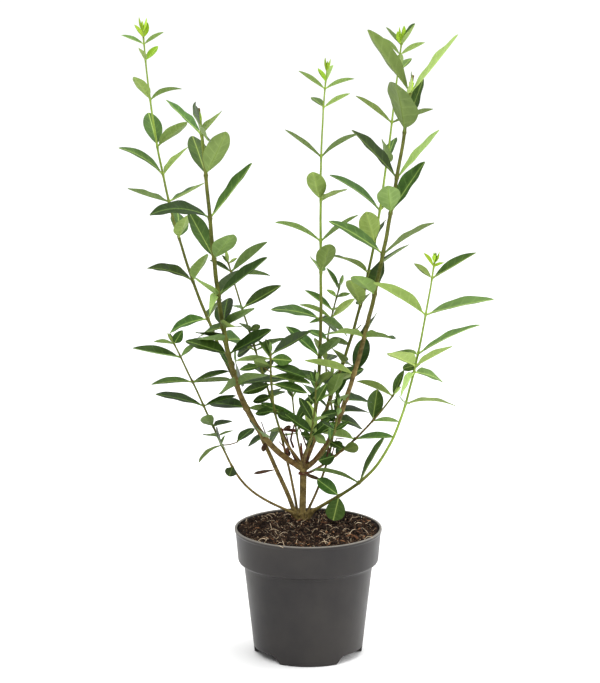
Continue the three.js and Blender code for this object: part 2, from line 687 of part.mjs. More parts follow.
/** The pot's outline from the middle of its underside, round the rim, to the middle of its floor. */
function potProfile() {
  const inner = BODY_RADIUS - WALL
  const bandInner = BAND_RADIUS - WALL
  return [
    [0, 0], [BASE_RADIUS - 1, 0], [BASE_RADIUS, 1], [BODY_RADIUS, SHOULDER - 1],
    [BODY_RADIUS + 1.2, SHOULDER + 1.6], [BAND_RADIUS - 1, BAND_FOOT - 0.6], [BAND_RADIUS, BAND_FOOT + 0.6],
    [RIM_RADIUS - 1, POT_HEIGHT - LIP_HEIGHT], [RIM_RADIUS, POT_HEIGHT - LIP_HEIGHT + 1.4],
    [RIM_RADIUS, POT_HEIGHT - 1], [RIM_RADIUS - 1.2, POT_HEIGHT],
    [RIM_RADIUS - LIP_WALL + 0.4, POT_HEIGHT - 0.8], [RIM_RADIUS - LIP_WALL, POT_HEIGHT - LIP_HEIGHT],
    [bandInner, BAND_FOOT + 2.4], [bandInner - 2, BAND_FOOT + 1], [inner, SHOULDER + 1],
    [BASE_RADIUS - WALL, POT_FLOOR], [0, POT_FLOOR],
  ]
}

/** The peat's outline, which follows the pot's inside with a small gap. */
function soilProfile() {
  const inner = BODY_RADIUS - WALL - GAP
  const bandInner = BAND_RADIUS - WALL - GAP
  const edge = RIM_RADIUS - LIP_WALL - GAP - 0.4
  return [
    [0, POT_FLOOR + GAP], [BASE_RADIUS - WALL - GAP, POT_FLOOR + GAP], [inner, SHOULDER + 1.4],
    [bandInner - 2.2, BAND_FOOT + 1.5], [bandInner, BAND_FOOT + 3], [edge, SOIL_EDGE],
    [edge - SOIL_ROUNDING, SOIL_EDGE + 0.9], [SOIL_PLATEAU, SOIL_TOP], [0, SOIL_TOP],
  ]
}

/** One drain channel: a sector cut from the rim of the base to the middle pad, narrower upwards. */
function channelSolid(centre) {
  const shape = new THREE.Shape()
  shape.absarc(0, 0, BASE_RADIUS + 10, -1, 1, false)
  shape.absarc(0, 0, PAD_RADIUS, 1, -1, true)
  const options = { depth: 1, steps: CHANNEL_STEPS.length, bevelEnabled: false, curveSegments: 6 }
  const geometry = new THREE.ExtrudeGeometry(shape, options)
  const place = geometry.attributes.position
  for (let i = 0; i < place.count; i++) {
    const level = Math.round(place.getZ(i) * CHANNEL_STEPS.length) - 1
    const height = level < 0 ? 0 : CHANNEL_STEPS[level]
    const eased = height + 0.5 * Math.sin(2 * Math.PI * height) / Math.PI
    const half = radians(CHANNEL_HALF_ANGLE - CHANNEL_SLOPE * eased)
    const radius = Math.hypot(place.getX(i), place.getY(i))
    const angle = radians(centre) + Math.atan2(place.getY(i), place.getX(i)) * half
    place.setXYZ(i, radius * Math.cos(angle), radius * Math.sin(angle), level < 0 ? -1 : height * CHANNEL_HEIGHT)
  }
  return solidOf(geometry)
}

/** The pot: its wall and floor, less the drain channels. */
function potSolid() {
  const wall = solidOf(lathe(potProfile()))
  return CHANNEL_CENTRES.reduce((pot, centre) => pot.subtract(channelSolid(centre)), wall)
}

/** The trunk: a leaning, flaring stem with the feet of its boughs, cut flat at the ground. */
function trunkSolid(limbs) {
  const below = TRUNK_FOOT.clone().setZ(TRUNK_FOOT.z - BELOW_CUT)
  const height = FORK.z - below.z
  const stem = solidOf(shapedCylinder(8, TRUNK_STEPS, (t, x, y) => {
    const share = t ** TRUNK_CROWDING
    const rise = Math.max(height * share - BELOW_CUT, 0)
    const flare = (FLARE_RADIUS - TRUNK_RADIUS) * Math.exp(-rise / FLARE_HEIGHT)
    const fork = (FORK_RADIUS - TRUNK_RADIUS) * t ** FORK_SWELLING
    const radius = TRUNK_RADIUS + flare + fork
    const centre = below.clone().lerp(FORK, share)
    return centre.add(new THREE.Vector3(x * radius, -y * radius, 0))
  }))
  const feet = limbs.map((limb) => limbSolid(limb, 0, limb.shoot.fused, BOUGH_SIDES))
  const basal = limbs.filter((limb) => limb.point(0).z < FORK.z)
  const buttresses = basal.map((limb) => coneSolid(
    below, limb.point(BUTTRESS_REACH), BUTTRESS_RADIUS, limb.radius(BUTTRESS_REACH) * 1.1, BOUGH_SIDES))
  const ground = new THREE.BoxGeometry(2 * RIM_RADIUS, 2 * RIM_RADIUS, 2 * BUTTRESS_REACH)
    .translate(TRUNK_FOOT.x, TRUNK_FOOT.y, TRUNK_FOOT.z - BUTTRESS_REACH)
  return [...feet, ...buttresses].reduce((whole, piece) => whole.add(piece), stem).subtract(solidOf(ground))
}

/** The side twig that carries a leaf, which runs a little way into the leaf's foot. */
function sideTwigSolid({ foot, root }) {
  const end = root.clone().addScaledVector(root.clone().sub(foot).normalize(), SIDE_TWIG_OVERLAP)
  return coneSolid(foot, end, SIDE_TWIG_RADIUS, SIDE_TWIG_RADIUS * SIDE_TWIG_TAPER, TWIG_SIDES)
}

/** One mass: the leafy stretch of a shoot with its leaves and their side twigs fused on. */
function foliageSolid(limb, leaves) {
  const stem = limbSolid(limb, limb.shoot.bare + GAP, limb.length, TWIG_SIDES)
  const twigs = leaves.filter((leaf) => leaf.stalked).map(sideTwigSolid)
  return [...twigs, ...leaves.map(leafSolid)].reduce((mass, piece) => mass.add(piece), stem)
}

const group = new THREE.Group()
const limbs = SHOOTS.map((shoot) => new Limb(shoot))
const leaves = growLeaves(limbs)

group.add(meshOf(potSolid(), 'pot', PLASTIC))
group.add(meshOf(solidOf(lathe(soilProfile())), 'soil', PEAT))
group.add(meshOf(trunkSolid(limbs), 'trunk', BARK))
limbs.forEach((limb, i) => {
  const { name, fused, bare } = limb.shoot
  group.add(meshOf(limbSolid(limb, fused + GAP, bare, BOUGH_SIDES), `stem_${name}`, GREEN_BARK))
  group.add(meshOf(foliageSolid(limb, leaves[i]), `leaves_${name}`, FOLIAGE))
})

export default group
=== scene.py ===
"""Potted privet: bark, leaves, peat and pot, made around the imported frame.

Sizes are millimetres in the frame's own axes, +X to the shrub's right, -Y to its front and +Z
up, and become metres when a mesh is made. The shoots and the rule that spreads their leaves
are those of the part's source, carried here to finer blades, buds and twigs.
"""
import logging
import math
from collections.abc import Iterator, Sequence
from dataclasses import dataclass, field
from enum import Enum

import bmesh
import bpy
import numpy as np
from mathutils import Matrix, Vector, noise


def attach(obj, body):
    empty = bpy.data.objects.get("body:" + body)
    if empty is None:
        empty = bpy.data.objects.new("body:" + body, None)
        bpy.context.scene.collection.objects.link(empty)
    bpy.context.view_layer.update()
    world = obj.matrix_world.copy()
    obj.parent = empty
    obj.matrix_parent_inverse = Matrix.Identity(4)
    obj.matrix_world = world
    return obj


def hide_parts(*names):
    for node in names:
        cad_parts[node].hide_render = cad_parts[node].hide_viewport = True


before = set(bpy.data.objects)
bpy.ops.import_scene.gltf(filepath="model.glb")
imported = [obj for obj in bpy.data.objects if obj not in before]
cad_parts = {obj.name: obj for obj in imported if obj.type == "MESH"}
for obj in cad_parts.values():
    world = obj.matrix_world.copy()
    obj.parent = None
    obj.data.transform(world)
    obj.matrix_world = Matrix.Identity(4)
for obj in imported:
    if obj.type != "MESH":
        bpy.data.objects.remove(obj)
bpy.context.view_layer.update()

MM = 0.001
BODY = "root"
log = logging.getLogger("privet")

Array = np.ndarray
Spread = tuple[float, ...]
Node = tuple[float | Spread, ...]
Colour = tuple[float, float, float]
Place = tuple[float, float, float]
Face = tuple[int, ...]
Socket = bpy.types.NodeSocket
Piece = bpy.types.Object
Finish = bpy.types.Material

# The view that the leaf spreads are given in
FRONT_TILT = math.radians(13.19)
FRONT_RIGHT = np.array([1.0, 0.0, 0.0])
FRONT_UP = np.array([0.0, math.sin(FRONT_TILT), math.cos(FRONT_TILT)])
FRONT_TOWARD = np.array([0.0, -math.cos(FRONT_TILT), math.sin(FRONT_TILT)])
LIGHT = np.array([0.12, -0.62, 0.78])

# Pot and peat
POT_HEIGHT = 132.0
RIM_RADIUS = 75.0
SOIL_TOP = 131.0

# Trunk
TRUNK_FOOT = np.array([-6.0, 30.0, 131.3])
FORK = np.array([-5.0, 30.0, 186.0])

# Leaves
PETIOLE = 0.09
FOLD = 0.18
LEAF_SLIMNESS = 0.42
YOUNG_SLIMMING = 0.04
BLADE_SKEW = 0.9
BLADE_FULLNESS = 0.85
PETIOLE_HALF_WIDTH = 0.8
DEFAULT_ARCH = 14.0
TURNED_OVER = -0.35

# Growth: the stretch below a growing tip where leaves are not yet full, and a new leaf's size
GROWING_STRETCH = 130.0
GROWING_CURVE = 0.6
NEW_LEAF = 0.2

# Crowding: low leaves stay small, from this share at the first height to full at the second
CROWDED_SHARE = 0.3
CROWDED_WIDTH = 0.2
CROWDED_HEIGHT = 170.0
OPEN_HEIGHT = 260.0

# Room that leaves keep, as in the part's source
LEAF_CLEAR = 3.0
OWN_LEAF_CLEAR = 1.8
STEM_CLEAR = 2.0
POT_CLEAR = 4.0
OWN_STEM_REACH = 9.0
STEM_NEAR = 10.0
STEM_SAMPLE = 2.0
SPREAD_TRIES = (
    (0, 1), (9, 1), (-9, 1), (18, 1), (-18, 1), (30, 1), (-30, 1), (45, 1), (-45, 1), (0, 0.93),
    (12, 0.93), (-12, 0.93), (28, 0.95), (-28, 0.95), (0, 0.86), (14, 0.86), (-14, 0.86),
    (30, 0.86), (-30, 0.86), (50, 0.86), (-50, 0.86), (0, 0.75), (20, 0.75), (-20, 0.75),
)
RULE_TRIES = (
    (0, 0, 1), (14, 0, 1), (-14, 0, 1), (0, 22, 1), (0, -22, 1), (14, 22, 0.9), (-14, -22, 0.9),
    (24, -22, 0.85), (-22, 22, 0.85), (0, 40, 0.8), (0, -40, 0.8), (30, 0, 0.7),
)


@dataclass(frozen=True)
class Shoot:
    """One shoot: its course, its taper and its leaf nodes from the tip down.

    A node is the gap to the one above and the spread of each leaf there as (right, up, shown
    width, arch), with a minus on a width that shows the upper side. Two more numbers are the
    reach, right and up, of a bare side twig that carries the leaf. A node with no spreads gets
    a pair by the crosswise rule. Olive and green are the shares of the length where brown bark
    turns olive and where olive turns green.
    """

    name: str
    path: tuple[Place, ...]
    seed: int
    nodes: tuple[Node, ...]
    foot: float = 1.4
    tip: float = 0.8
    fused: float = 12
    turn: float = 0
    leaf: float = 44
    cut: bool = False
    olive: float = 0.4
    green: float = 1.4


SHOOTS = (
    Shoot("left_main", ((-5, 30, 186), (-94, 18, 236), (-88, -15, 369), (-108, -40, 568)), 1, (
        (23, (-36, 35, -8), (20, 19, 3), (-4, 15, 4), (4, 16, 4)),
        (43, (21, 41, 22), (-14, 41, -19)), (45, (-60, 3, -14, 75), (42, 55, -9, 4)),
        (44, (20, 23, 18), (-26, 48, -16)),
        (40, (50, 38, -10), (23, 29, -14), (-23, 17, 3), (-9, -18, 8)),
        (35, (31, 20, 9), (3, 31, -19), (-24, -7, -8), (14, 2, 10)),
        (14, (15, 1, -17), (-28, 8, 6), (-27, 1, 4)), (16, (-44, 15, -14, 10), (44, 24, -12)),
        (21, (-16, 24, -8)), (8, (-1, 22, -6)), (6, (31, 10, 9, 30), (50, 6, -9), (-15, -5, 13)),
        (28, (-37, 5, -12), (38, -4, 9)), (38, (-16, -8, -7), (-9, 12, 6)),
    ), foot=3.3, tip=1.6, turn=20, leaf=54, cut=True, olive=0.35, green=0.93),
    Shoot("left_tall", ((-11, 34, 131), (-79, 45, 302), (-149, 62, 378), (-168, 95, 629)), 2, (
        (8, (-9, 13, 5), (4, 16, 8)), (6, (-23, 9, -4), (20, 12, 3)),
        (17, (-6, 11, 5), (13, 14, 7)), (40, (-15, 22, 11), (33, 10, 3, 50)),
        (48, (-10, 36, -19), (31, 23, 10)), (29, (-44, 28, -8, 40), (26, 26, 4)),
        (28, (-41, 12, 3, 4), (35, 20, -3, 4)), (39, (-2, 28, -18), (10, 22, 12)),
        (46, (-47, 13, -10, 50), (15, 26, 11)), (42, (-40, -13, -11, 40), (12, 20, -8)),
    ), foot=2.5, turn=90, leaf=50, olive=0.3, green=0.7),
    Shoot("left_inner", ((-10, 37, 131), (-25, 55, 228), (-56, 80, 297), (-83, 125, 382)), 3, (
        (2, (-7, 9, -4), (9, 6, 4)), (9, (38, 31, 10), (-22, 12, -5)), (3, (40, -1, 3, 30)),
        (38, (40, 24, -12, 15), (-10, 3, 3)), (25, (-9, 8, 6), (11, 6, 7)),
        (16, (35, 7, 2.5), (-21, -11, -11)), (5,), (27, (-14, 12, -8), (9, 16, -8)),
        (23, (13, 9, -5)), (37, (-13, 0, 5), (-11, -12, -9)),
    ), foot=1.5, tip=0.85, turn=10, leaf=42, olive=0.35, green=1.3),
    Shoot("left_low", ((-9, 27, 137), (-87, 0, 178), (-64, 5, 174), (-137, 30, 318)), 4, (
        (1, (9, 14, -13), (-21, 2, 5, 25)), (15, (-49, 9, -8), (16, 14, 6)),
        (28, (-42, -3, -7, 30), (37, 11, -6, 15), (39, 1, 3)),
        (27, (-49, 12, -8, 20), (33, 10, -6)), (23, (-9, 11, 14), (18, 5, -6)),
        (11, (-13, 2, 3), (16, 6, 2)),
        (10, (-23, -18, 4, 50), (16, 14, -9, 14, 16, 3), (-3, 10, 3), (3, 10, 3)),
        (25, (-3, -9, 12)),
    ), foot=1.45, tip=0.9, leaf=46, olive=0.45, green=1.3),
    Shoot("centre_left", ((-5, 30, 186), (-15, 20, 213), (-39, -5, 220), (-38, -10, 318)), 5, (
        (3, (-5, 16, -8), (41, 24, -12)), (4, (22, -2, -14), (-35, -2, 5), (-13, 19, -6)),
        (8, (-17, 6, 11), (37, -12, -11, 30)), (6, (-23, -4, -8, 14, -9, 6)), (4, (40, -8, -9)),
        (9, (36, -9, -10, 20), (-29, -9, -11)), (14, (-20, -5, -9), (11, 5, -6)),
        (16, (19, -7, -9), (-20, -3, -8)),
    ), foot=1.6, tip=0.9, leaf=50, olive=0.35, green=1.3),
    Shoot("centre_front", ((-5, 30, 186), (-8, 22, 205), (0, -10, 215), (6, -30, 239)), 6, (
        (2, (-29, 20, -12), (12, -9, 11)), (5, (-6, 36, 14), (26, 14, -10)), (16, (-5, 14, -7)),
        (20,),
    ), tip=0.9),
    Shoot("centre_tall", ((-5, 30, 186), (28, 38, 296), (2, 65, 440), (19, 95, 588)), 7, (
        (12, (-8, 13, 5), (8, 18, 5)), (7, (-27, 18, 2), (30, 10, 3, 30)),
        (19, (-12, 12, -8), (27, 14, 4)), (50, (-37, 27, 2), (38, 23, 5, 30)),
        (45, (-8, 27, 19), (26, 10, 4)), (41, (-46, 19, 4, 35), (38, 26, 4)),
        (32, (9, 28, 19), (-8, 14, -8)), (48, (-51, 10, -10, 35), (27, -16, 8, 30), (16, -11, -9)),
        (39, (-34, 32, -11), (18, 19, 12)), (29, (-16, 12, 10), (14, 14, 10)), (17,),
    ), foot=2.5, tip=0.75, fused=44, turn=90, leaf=48, olive=0.14, green=0.48),
    Shoot("right_back", ((-5, 30, 186), (70, 38, 378), (69, 62, 412), (94, 50, 626)), 8, (
        (5, (-4, 13, 7), (3, 20, 7), (-15, 19, -2), (13, 19, -2)), (10, (-19, 17, 4), (25, 12, 5)),
        (18, (2, 17, 10), (14, 15, -8)), (52, (-36, 27, 3), (42, 13, 3)),
        (43, (9, 28, -12), (-3, 21, 9)), (48, (-52, 35, -8, 35), (30, 25, -6)),
        (34, (-9, 31, 22), (10, 24, -8)), (31, (-34, 17, 3, 30), (41, 29, -2)),
        (35, (-10, 26, 16), (11, 14, -6)), (29, (-14, 4, 2), (7, 6, 2)),
        (32, (12, -3, -6), (-9, 13, 8)), (22, (-12, 10, 10), (14, 10, 9)), (16,),
    ), foot=2.2, fused=44, turn=90, leaf=50, olive=0.18, green=0.54),
    Shoot("right_front", ((-5, 30, 186), (45, 12, 211), (83, -20, 453), (102, -45, 602)), 9, (
        (14, (-42, 62, 12, 10), (46, 58, 3, 4), (1, 12, 4)), (42, (19, 54, -13, 10), (-9, 45, 26)),
        (48, (-44, 48, -12), (43, 47, 7, 8)), (38, (-4, 26, 24), (33, 52, -15)),
        (44, (-53, 34, -12, 20), (51, 32, 5, 20)), (44, (6, 35, -15), (-21, 17, 14)),
        (47, (12, 23, -6), (29, -1, 5, 20), (-40, 3, 5, 30)), (42, (12, 36, -17), (-50, 14, 8, 15)),
        (30, (-5, 33, -12), (24, -2, -8), (-15, -1, 7)), (14, (28, -1, -7, 20), (-18, -4, -9)),
        (11, (24, -8, -10, 30), (-17, 6, -10)),
    ), foot=2.8, tip=1.6, turn=10, leaf=56, cut=True, olive=0.42, green=1),
    Shoot("right_green", ((-2, 26, 138), (71, -8, 192), (93, -22, 188), (126, -25, 414)), 10, (
        (1, (-1, 8, 5), (5, 8, 4)), (4, (-10, 14, 4), (10, 4, 3)), (12, (-18, 15, 7), (44, 26, -8)),
        (38, (-62, 37, 10, 25), (68, 16, -9, 20)), (41, (62, 30, -5, 20), (-31, 1, 4)),
        (13, (36, 20, 6), (-28, 14, 14)), (7, (30, -9, -9, 25), (-15, -22, 9)),
        (34, (50, -2, 4, 45), (-4, 4, 3)), (103, (-48, 13, 4, 35), (26, 46, -5)),
        (28, (-22, 17, -14), (-6, -25, -20)),
    ), foot=1.9, tip=0.9, turn=90, leaf=52, olive=0.08, green=0.32),
    Shoot("right_low", ((-5, 30, 186), (-13, 42, 162), (50, 53, 202), (88, 59, 257)), 11, (
        (2, (12, 27, -10), (-37, 15, 6, 35)), (33, (5, 32, -19), (27, -1, 5, 25)),
        (26, (39, 2, -7, 20), (-38, 9, 11)), (17, (16, 4, 12), (-20, 7, 3)),
        (9, (-18, -5, -15), (8, 10, -8)),
    ), foot=1.5, tip=0.9, olive=0.8, green=1.6),
    Shoot("centre_back", ((-3, 34, 134), (63, 66, 269), (-10, 92, 218), (33, 112, 360)), 12, (
        (4, (-13, 22, -5), (1, 6, 7)), (9, (-10, 8, 5), (14, 4, 5)), (14, (-29, 21, -7), (4, 3, 3)),
        (8, (24, 20, 8), (-33, 14, 4, 30), (-23, -5, -5)), (23, (-20, 10, -8), (22, -4, 7)), (23,),
        (23,),
    ), olive=0.25, green=1.3),
    Shoot("front_low", ((-5, 30, 186), (-5, 0, 205), (5, -50, 230), (8, -60, 300)), 13, (
        (2,), (8,), (16,), (22,), (22,),
    ), turn=40),
    Shoot("front_right", ((-5, 30, 186), (10, 10, 200), (28, -40, 225), (30, -50, 273)), 14, (
        (2,), (10,), (20,), (20,),
    ), turn=10),
    Shoot("back_mid", ((-5, 30, 186), (-8, 60, 195), (-15, 105, 215), (-17, 120, 252)), 15, (
        (2,), (12,), (22, (-16, 5, -9)), (22,),
    ), turn=30),
    Shoot("back_right", ((-5, 30, 186), (5, 70, 200), (22, 115, 220), (25, 130, 260)), 16, (
        (2,), (12,), (22,), (22,),
    )),
)


def clamp(value: float, low: float, high: float) -> float:
    """Keeps a value between two bounds."""
    return max(low, min(high, value))


def unit(vector: Array) -> Array:
    """Scales a vector to length one."""
    return vector / np.linalg.norm(vector)


def squared(vector: Array, axis: Array) -> Array:
    """Returns the unit direction of a vector's part that stands square to a unit axis."""
    return unit(vector - axis * (vector @ axis))


class Dice:
    """A repeatable row of numbers from a seed, the same as in the part's source."""

    MULTIPLIER = 48271
    MODULUS = 2147483647

    def __init__(self, seed: int) -> None:
        """Starts the row.

        Args:
            seed: which row of numbers this is.
        """
        self.state = (seed * 7919 + 104729) % self.MODULUS
        for _ in range(3):
            self.roll()

    def roll(self) -> float:
        """Returns the next number, from 0 to 1."""
        self.state = (self.state * self.MULTIPLIER) % self.MODULUS
        return self.state / self.MODULUS

    def spread(self, size: float) -> float:
        """Returns the next number, from -size to size."""
        return (2 * self.roll() - 1) * size


class Limb:
    """The centre line and taper of one shoot, measured along its arc."""

    STEPS = 200
    TANGENT_STEP = 0.0001
    TAPER = 0.8

    def __init__(self, shoot: Shoot) -> None:
        """Measures the shoot's curve.

        Args:
            shoot: the shoot that this is the centre line of.
        """
        self.shoot = shoot
        self.path = np.array(shoot.path, float)
        steps = self._curve(np.linspace(0, 1, self.STEPS + 1))
        chords = np.linalg.norm(np.diff(steps, axis=0), axis=1)
        self.arcs = np.concatenate([[0.0], np.cumsum(chords)])
        self.length = float(self.arcs[-1])

    def _curve(self, t: Array) -> Array:
        """Finds the cubic curve's points.

        Args:
            t: the curve's own parameter, 0 to 1.

        Returns:
            A point for each parameter.
        """
        t = np.asarray(t, float)[..., None]
        a, b, c, d = self.path
        return (1 - t) ** 3 * a + 3 * (1 - t) ** 2 * t * b + 3 * (1 - t) * t ** 2 * c + t ** 3 * d

    def _parameter(self, s: Array) -> Array:
        """Returns the curve's parameter at an arc length."""
        return np.interp(np.clip(s, 0, self.length), self.arcs, np.linspace(0, 1, self.STEPS + 1))

    def point(self, s: Array | float) -> Array:
        """Returns the point, or points, at arc length s from the foot."""
        return self._curve(self._parameter(s))

    def tangent(self, s: float) -> Array:
        """Finds the direction of growth.

        Args:
            s: the arc length from the foot.

        Returns:
            The unit direction.
        """
        t = self._parameter(s)
        ahead = self._curve(np.minimum(t + self.TANGENT_STEP, 1))
        return unit(ahead - self._curve(np.maximum(t - self.TANGENT_STEP, 0)))

    def radius(self, s: Array | float) -> Array | float:
        """Returns the stem's radius at arc length s."""
        return self.shoot.foot + (self.shoot.tip - self.shoot.foot) * (s / self.length) ** self.TAPER

    def age(self, s: float) -> float:
        """Says how grown the leaves are.

        Args:
            s: the arc length from the foot.

        Returns:
            0 at a growing tip, 1 well below it.
        """
        if self.shoot.cut:
            return 1.0
        return clamp((self.length - s) / GROWING_STRETCH, 0, 1) ** GROWING_CURVE

    def node_arcs(self) -> list[float]:
        """Returns the arc length of each leaf node, from the tip down."""
        return list(self.length - np.cumsum([node[0] for node in self.shoot.nodes]))


@dataclass
class Leaf:
    """One leaf: a folded blade along a circular arc from its root."""

    root: Array
    out: Array
    up: Array
    length: float
    width: float
    bend: float
    age: float = 1.0
    foot: Array | None = None

    def surface(self, t: Array, across: Array) -> Array:
        """Finds points of the blade.

        Args:
            t: places from root to tip, 0 to 1.
            across: places from edge to edge, -1 to 1.

        Returns:
            One point for each pair of places.
        """
        angle = self.bend * t
        along = self.length * np.sin(angle) / self.bend
        drop = self.length * (1 - np.cos(angle)) / self.bend
        normal = np.cos(angle)[:, None] * self.up + np.sin(angle)[:, None] * self.out
        half = half_width(t, self.width)
        spine = self.root + along[:, None] * self.out - drop[:, None] * self.up
        side = np.cross(self.out, self.up)
        rise = np.abs(across) * half * math.sin(FOLD)
        return spine + (across * half * math.cos(FOLD))[:, None] * side + rise[:, None] * normal

    SAMPLE_T = np.repeat(np.arange(12) * 0.07 + 0.23, 7)
    SAMPLE_ACROSS = np.tile(np.arange(7) / 3 - 1, 12)
    TWIG_SAMPLES = np.array([0.4, 0.6, 0.8, 1.0])

    def samples(self) -> Array:
        """Samples the leaf for clearance tests.

        Returns:
            Points all over the blade and its side twig.
        """
        blade = self.surface(self.SAMPLE_T, self.SAMPLE_ACROSS)
        if self.foot is None:
            return blade
        twig = self.foot + self.TWIG_SAMPLES[:, None] * (self.root - self.foot)
        return np.concatenate([blade, twig])


def outline(t: Array) -> Array:
    """Returns a blade's half width at t as a share of its full width."""
    x = np.clip((t - PETIOLE) / (1 - PETIOLE), 0, 1)
    return 0.5 * np.maximum(np.sin(np.pi * x ** BLADE_SKEW), 0) ** BLADE_FULLNESS


def blunt_outline(t: Array) -> Array:
    """Returns a round-ended blade's half width at t as a share of its full width."""
    x = np.clip((t - PETIOLE) / (1 - PETIOLE), 0, 1)
    return 0.5 * np.maximum(1 - np.abs(2 * x ** 1.3 - 1) ** 2.2, 0) ** 0.6


def half_width(t: Array, width: float) -> Array:
    """Returns a leaf's half width at t, petiole included."""
    return np.where(t <= PETIOLE, PETIOLE_HALF_WIDTH, width * outline(t))


def grown_share(age: float) -> float:
    """Returns the share of its full size that a leaf has reached at an age."""
    return NEW_LEAF + (1 - NEW_LEAF) * age


def crowding(height: float) -> float:
    """Returns how much crowding shortens the leaves at a height, as a share."""
    clear = clamp((height - CROWDED_HEIGHT) / (OPEN_HEIGHT - CROWDED_HEIGHT), 0, 1)
    return (1 - CROWDED_SHARE) * (1 - clear)


def spread_leaf(limb: Limb, s: float, spread: Spread, depth: float, size: float) -> Leaf:
    """Makes a leaf from its spread in the front view.

    Args:
        limb: the stem that it grows on.
        s: the arc length of its node.
        spread: how far it reaches to the right and up, its shown width and its arch.
        depth: a change of its reach towards the front that finds it room.
        size: a change of its size that finds it room.

    Returns:
        The leaf.
    """
    right, up, shown = spread[:3]
    arch = spread[3] if len(spread) > 3 else DEFAULT_ARCH
    age = limb.age(s)
    face = math.copysign(1, shown)
    flat = math.hypot(right, up) * size
    root, foot = limb.point(s), None
    if len(spread) > 4:
        foot, root = root, root + spread[4] * FRONT_RIGHT + spread[5] * FRONT_UP
    crowded = crowding(root[2])
    full = max(limb.shoot.leaf * grown_share(age) * (1 - crowded), flat)
    toward = face * math.sqrt(max(full * full - flat * flat, 0)) + depth
    chord = right * size * FRONT_RIGHT + up * size * FRONT_UP + toward * FRONT_TOWARD
    span = float(np.linalg.norm(chord))
    along = chord / span
    slimness = LEAF_SLIMNESS + CROWDED_WIDTH * crowded - YOUNG_SLIMMING * (1 - age)
    width = max(span * slimness, abs(shown))
    roll = math.acos(clamp(abs(shown) / width, 0, 1))
    facing = squared(FRONT_TOWARD, along)
    edge = np.cross(along, facing)
    if edge[2] < 0:
        edge = -edge
    normal = -face * math.cos(roll) * facing + math.sin(roll) * edge
    if normal[2] < TURNED_OVER:
        normal = -normal
    bend = math.radians(arch)
    c, d = math.cos(bend / 2), math.sin(bend / 2)
    out = c * along + d * normal
    top = c * normal - d * along
    return Leaf(root, out, top, span * (bend / 2) / d, width, bend, age, foot)


@dataclass(frozen=True)
class Throw:
    """The chances that one leaf of a pair draws, each from -1 to 1."""

    lift: float
    turn: float
    length: float
    width: float
    bend: float
    roll: float


@dataclass(frozen=True)
class PairRule:
    """The crosswise rule: each pair stands square to the pair above it. Angles are degrees."""

    turn: float = 90.0
    drift: float = 9.0
    turn_chance: float = 16.0
    lift_young: float = 24.0
    lift_grown: float = 24.0
    lift_low: float = 12.0
    lift_crowded: float = 12.0
    lift_chance: float = 14.0
    roll_chance: float = 30.0
    bend: float = 16.0
    bend_chance: float = 15.0
    bend_young: float = 0.4
    length_chance: float = 0.18
    slimming: float = 0.02
    width_chance: float = 0.05
    light_pull: float = 0.8

    def leaf(self, limb: Limb, s: float, azimuth: float, dice: Throw, low: float,
             lift_change: float, turn_change: float, size: float) -> Leaf:
        """Makes one leaf of a pair.

        Args:
            limb: the stem that it grows on.
            s: the arc length of its node.
            azimuth: the way that it faces, in degrees.
            dice: its chances.
            low: how far down the shoot it is, 0 to 1.
            lift_change: degrees off the stem that find it room.
            turn_change: degrees about the stem that find it room.
            size: a change of size that finds it room.

        Returns:
            The leaf.
        """
        age = limb.age(s)
        stem = limb.tangent(s)
        point = limb.point(s)
        crowded = crowding(point[2])
        angle = math.radians(azimuth + turn_change + self.turn_chance * dice.turn)
        side = np.array([math.cos(angle), math.sin(angle), 0.0])
        side = squared(side, stem)
        rise = self.lift_young + self.lift_grown * age + self.lift_low * low
        rise += self.lift_crowded * crowded + self.lift_chance * dice.lift
        lift = math.radians(rise + lift_change)
        out = math.cos(lift) * stem + math.sin(lift) * side
        top = math.sin(lift) * stem - math.cos(lift) * side + self.light_pull * LIGHT
        top = squared(top, out)
        across = np.cross(out, top)
        roll = math.radians(self.roll_chance * dice.roll)
        top = math.cos(roll) * top + math.sin(roll) * across
        full = limb.shoot.leaf * grown_share(age) * (1 - crowded)
        length = full * (1 + self.length_chance * dice.length) * size
        broader = CROWDED_WIDTH * crowded + self.width_chance * dice.width
        slimmer = self.slimming + YOUNG_SLIMMING * (1 - age)
        width = length * (LEAF_SLIMNESS + broader - slimmer)
        bend = math.radians(self.bend + self.bend_chance * dice.bend)
        bend *= self.bend_young + (1 - self.bend_young) * age
        return Leaf(point, out, top, length, width, bend, age)


